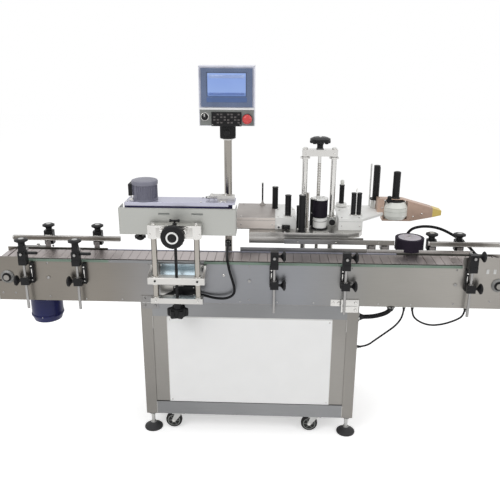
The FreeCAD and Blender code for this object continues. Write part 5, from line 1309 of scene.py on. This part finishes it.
def detail_gear():
    made = Shape()
    low = 185
    face = 72
    for z in (186, 350):
        made.prism([(-300, low + z - 17), (300, low + z - 17), (300, low + z - 13), (-300, low + z - 13)], "y", face,
                   face + 7, "zinc", 0.4)
    for x in range(-286, 296, 14):
        for z in (170 + 20, 335 + 20):
            made.box((x, x + 5), (face + 38, face + 40.6), (low + z - 16, low + z + 14), "fascia", 0.4)
    for x0, count, z in ((-290, 3, 50), (-230, 3, 50), (-170, 3, 50)):
        for i in range(count):
            x = x0 + 6 + i * 15
            made.box((x, x + 7), (face + 80, face + 88), (low + z + 36, low + z + 50), "black", 1.2)
            made.button((x + 3.5, face + 80, low + z + 14), "y", 3, "zinc", 1.2)
            made.button((x + 3.5, face + 80, low + z + 72), "y", 3, "zinc", 1.2)
    for i in range(14):
        x = -286 + i * 10 + 0
        made.box((x + 200, x + 207), (face + 70, face + 76), (low + 64, low + 126), "green" if i % 5 == 4 else "beige",
                 0.8) if 200 + x < 20 else None
    for x, length, z, height, depth in ((-290, 60, 215, 110, 140), (-215, 60, 215, 110, 140), (-140, 60, 215, 110, 140),
                                        (120, 150, 215, 110, 80)):
        for i in range(5):
            made.box((x + 8, x + length - 8), (face + depth, face + depth + 1.6), (low + z + 14 + i * 8, low + z + 17 + i * 8),
                     "fascia", 0.5)
        made.box((x + 10, x + length - 10), (face + depth, face + depth + 2.4), (low + z + 66, low + z + 92), "bezel", 1.4)
    for i, (x0, z0, x1, z1) in enumerate(((-260, 395, -240, 345), (-185, 395, -150, 345), (-110, 395, -60, 345),
                                          (20, 400, 60, 345), (180, 395, 150, 345), (-260, 320, -265, 366),
                                          (-200, 320, -195, 366), (90, 300, 80, 360))):
        made.tube([(x0, face + 60, z0), (x0 + 4, face + 74, z0 - 14), (x1 - 4, face + 66, z1 + 14),
                   (x1, face + 36, z1)], 2.6, ("black", "blue", "red")[i % 3], 10)
    made.place("electrical_wiring", "frame", "galvanised")


# Studio


def add_world():
    world = bpy.data.worlds.new("studio")
    bpy.context.scene.world = world
    world.use_nodes = True
    tree = world.node_tree
    paths = tree.nodes.new("ShaderNodeLightPath")
    seen = tree.nodes.new("ShaderNodeMath")
    seen.operation = "MAXIMUM"
    tree.links.new(paths.outputs["Is Camera Ray"], seen.inputs[0])
    tree.links.new(paths.outputs["Is Glossy Ray"], seen.inputs[1])
    level = tree.nodes.new("ShaderNodeMapRange")
    level.inputs["To Min"].default_value = 0.55
    level.inputs["To Max"].default_value = 1.0
    tree.links.new(seen.outputs[0], level.inputs["Value"])
    back = tree.nodes["Background"]
    back.inputs["Color"].default_value = (1, 1, 1, 1)
    tree.links.new(level.outputs["Result"], back.inputs["Strength"])


def add_light(name, place, target, size, power):
    data = bpy.data.lights.new(name, "AREA")
    data.shape = "DISK"
    data.size = size
    data.energy = power
    light = bpy.data.objects.new(name, data)
    bpy.context.scene.collection.objects.link(light)
    light.location = place
    light.rotation_euler = (Vector(target) - Vector(place)).to_track_quat("-Z", "Y").to_euler()


def add_floor():
    """A white floor that shows white to the camera and keeps the soft shadow."""
    mesh = bpy.data.meshes.new("floor")
    reach = 12
    mesh.from_pydata([(-reach, -reach, 0), (reach, -reach, 0), (reach, reach, 0), (-reach, reach, 0)], [],
                     [(0, 1, 2, 3)])
    floor = bpy.data.objects.new("floor", mesh)
    bpy.context.scene.collection.objects.link(floor)
    made = Nodes("floor_white", (0.93, 0.93, 0.93), rough=0.9)
    made.shader.inputs["Specular IOR Level"].default_value = 0
    made.shader.inputs["Emission Color"].default_value = (1, 1, 1, 1)
    paths = made.add("ShaderNodeLightPath")
    seen = made.add("ShaderNodeMath", operation="MAXIMUM")
    made.join(paths.outputs["Is Camera Ray"], seen.inputs[0])
    made.join(paths.outputs["Is Glossy Ray"], seen.inputs[1])
    made.join(made.span(seen.outputs[0], 0.0, 0.48), made.shader.inputs["Emission Strength"])
    mesh.materials.append(made.material)


make_finishes()
dress_nodes()
add_camera()
add_cables()
add_cable_glands()
for build in (detail_conveyor, detail_drive, detail_cabinet, detail_casters, detail_panel, detail_wrap,
              detail_label_stand, detail_label_head, detail_unwind, detail_brackets, detail_guides, detail_gear):
    build()
add_floor()
add_world()
add_light("key", (-2.2, -3.2, 3.6), (0, 0, 0.7), 2.5, 50)
add_light("fill", (2.8, -2.4, 2.6), (0, 0, 0.8), 2.5, 22)
add_light("top", (0.2, 0.6, 4.2), (0, 0, 0.8), 3.0, 30)
bpy.context.scene.view_settings.view_transform = "Standard"
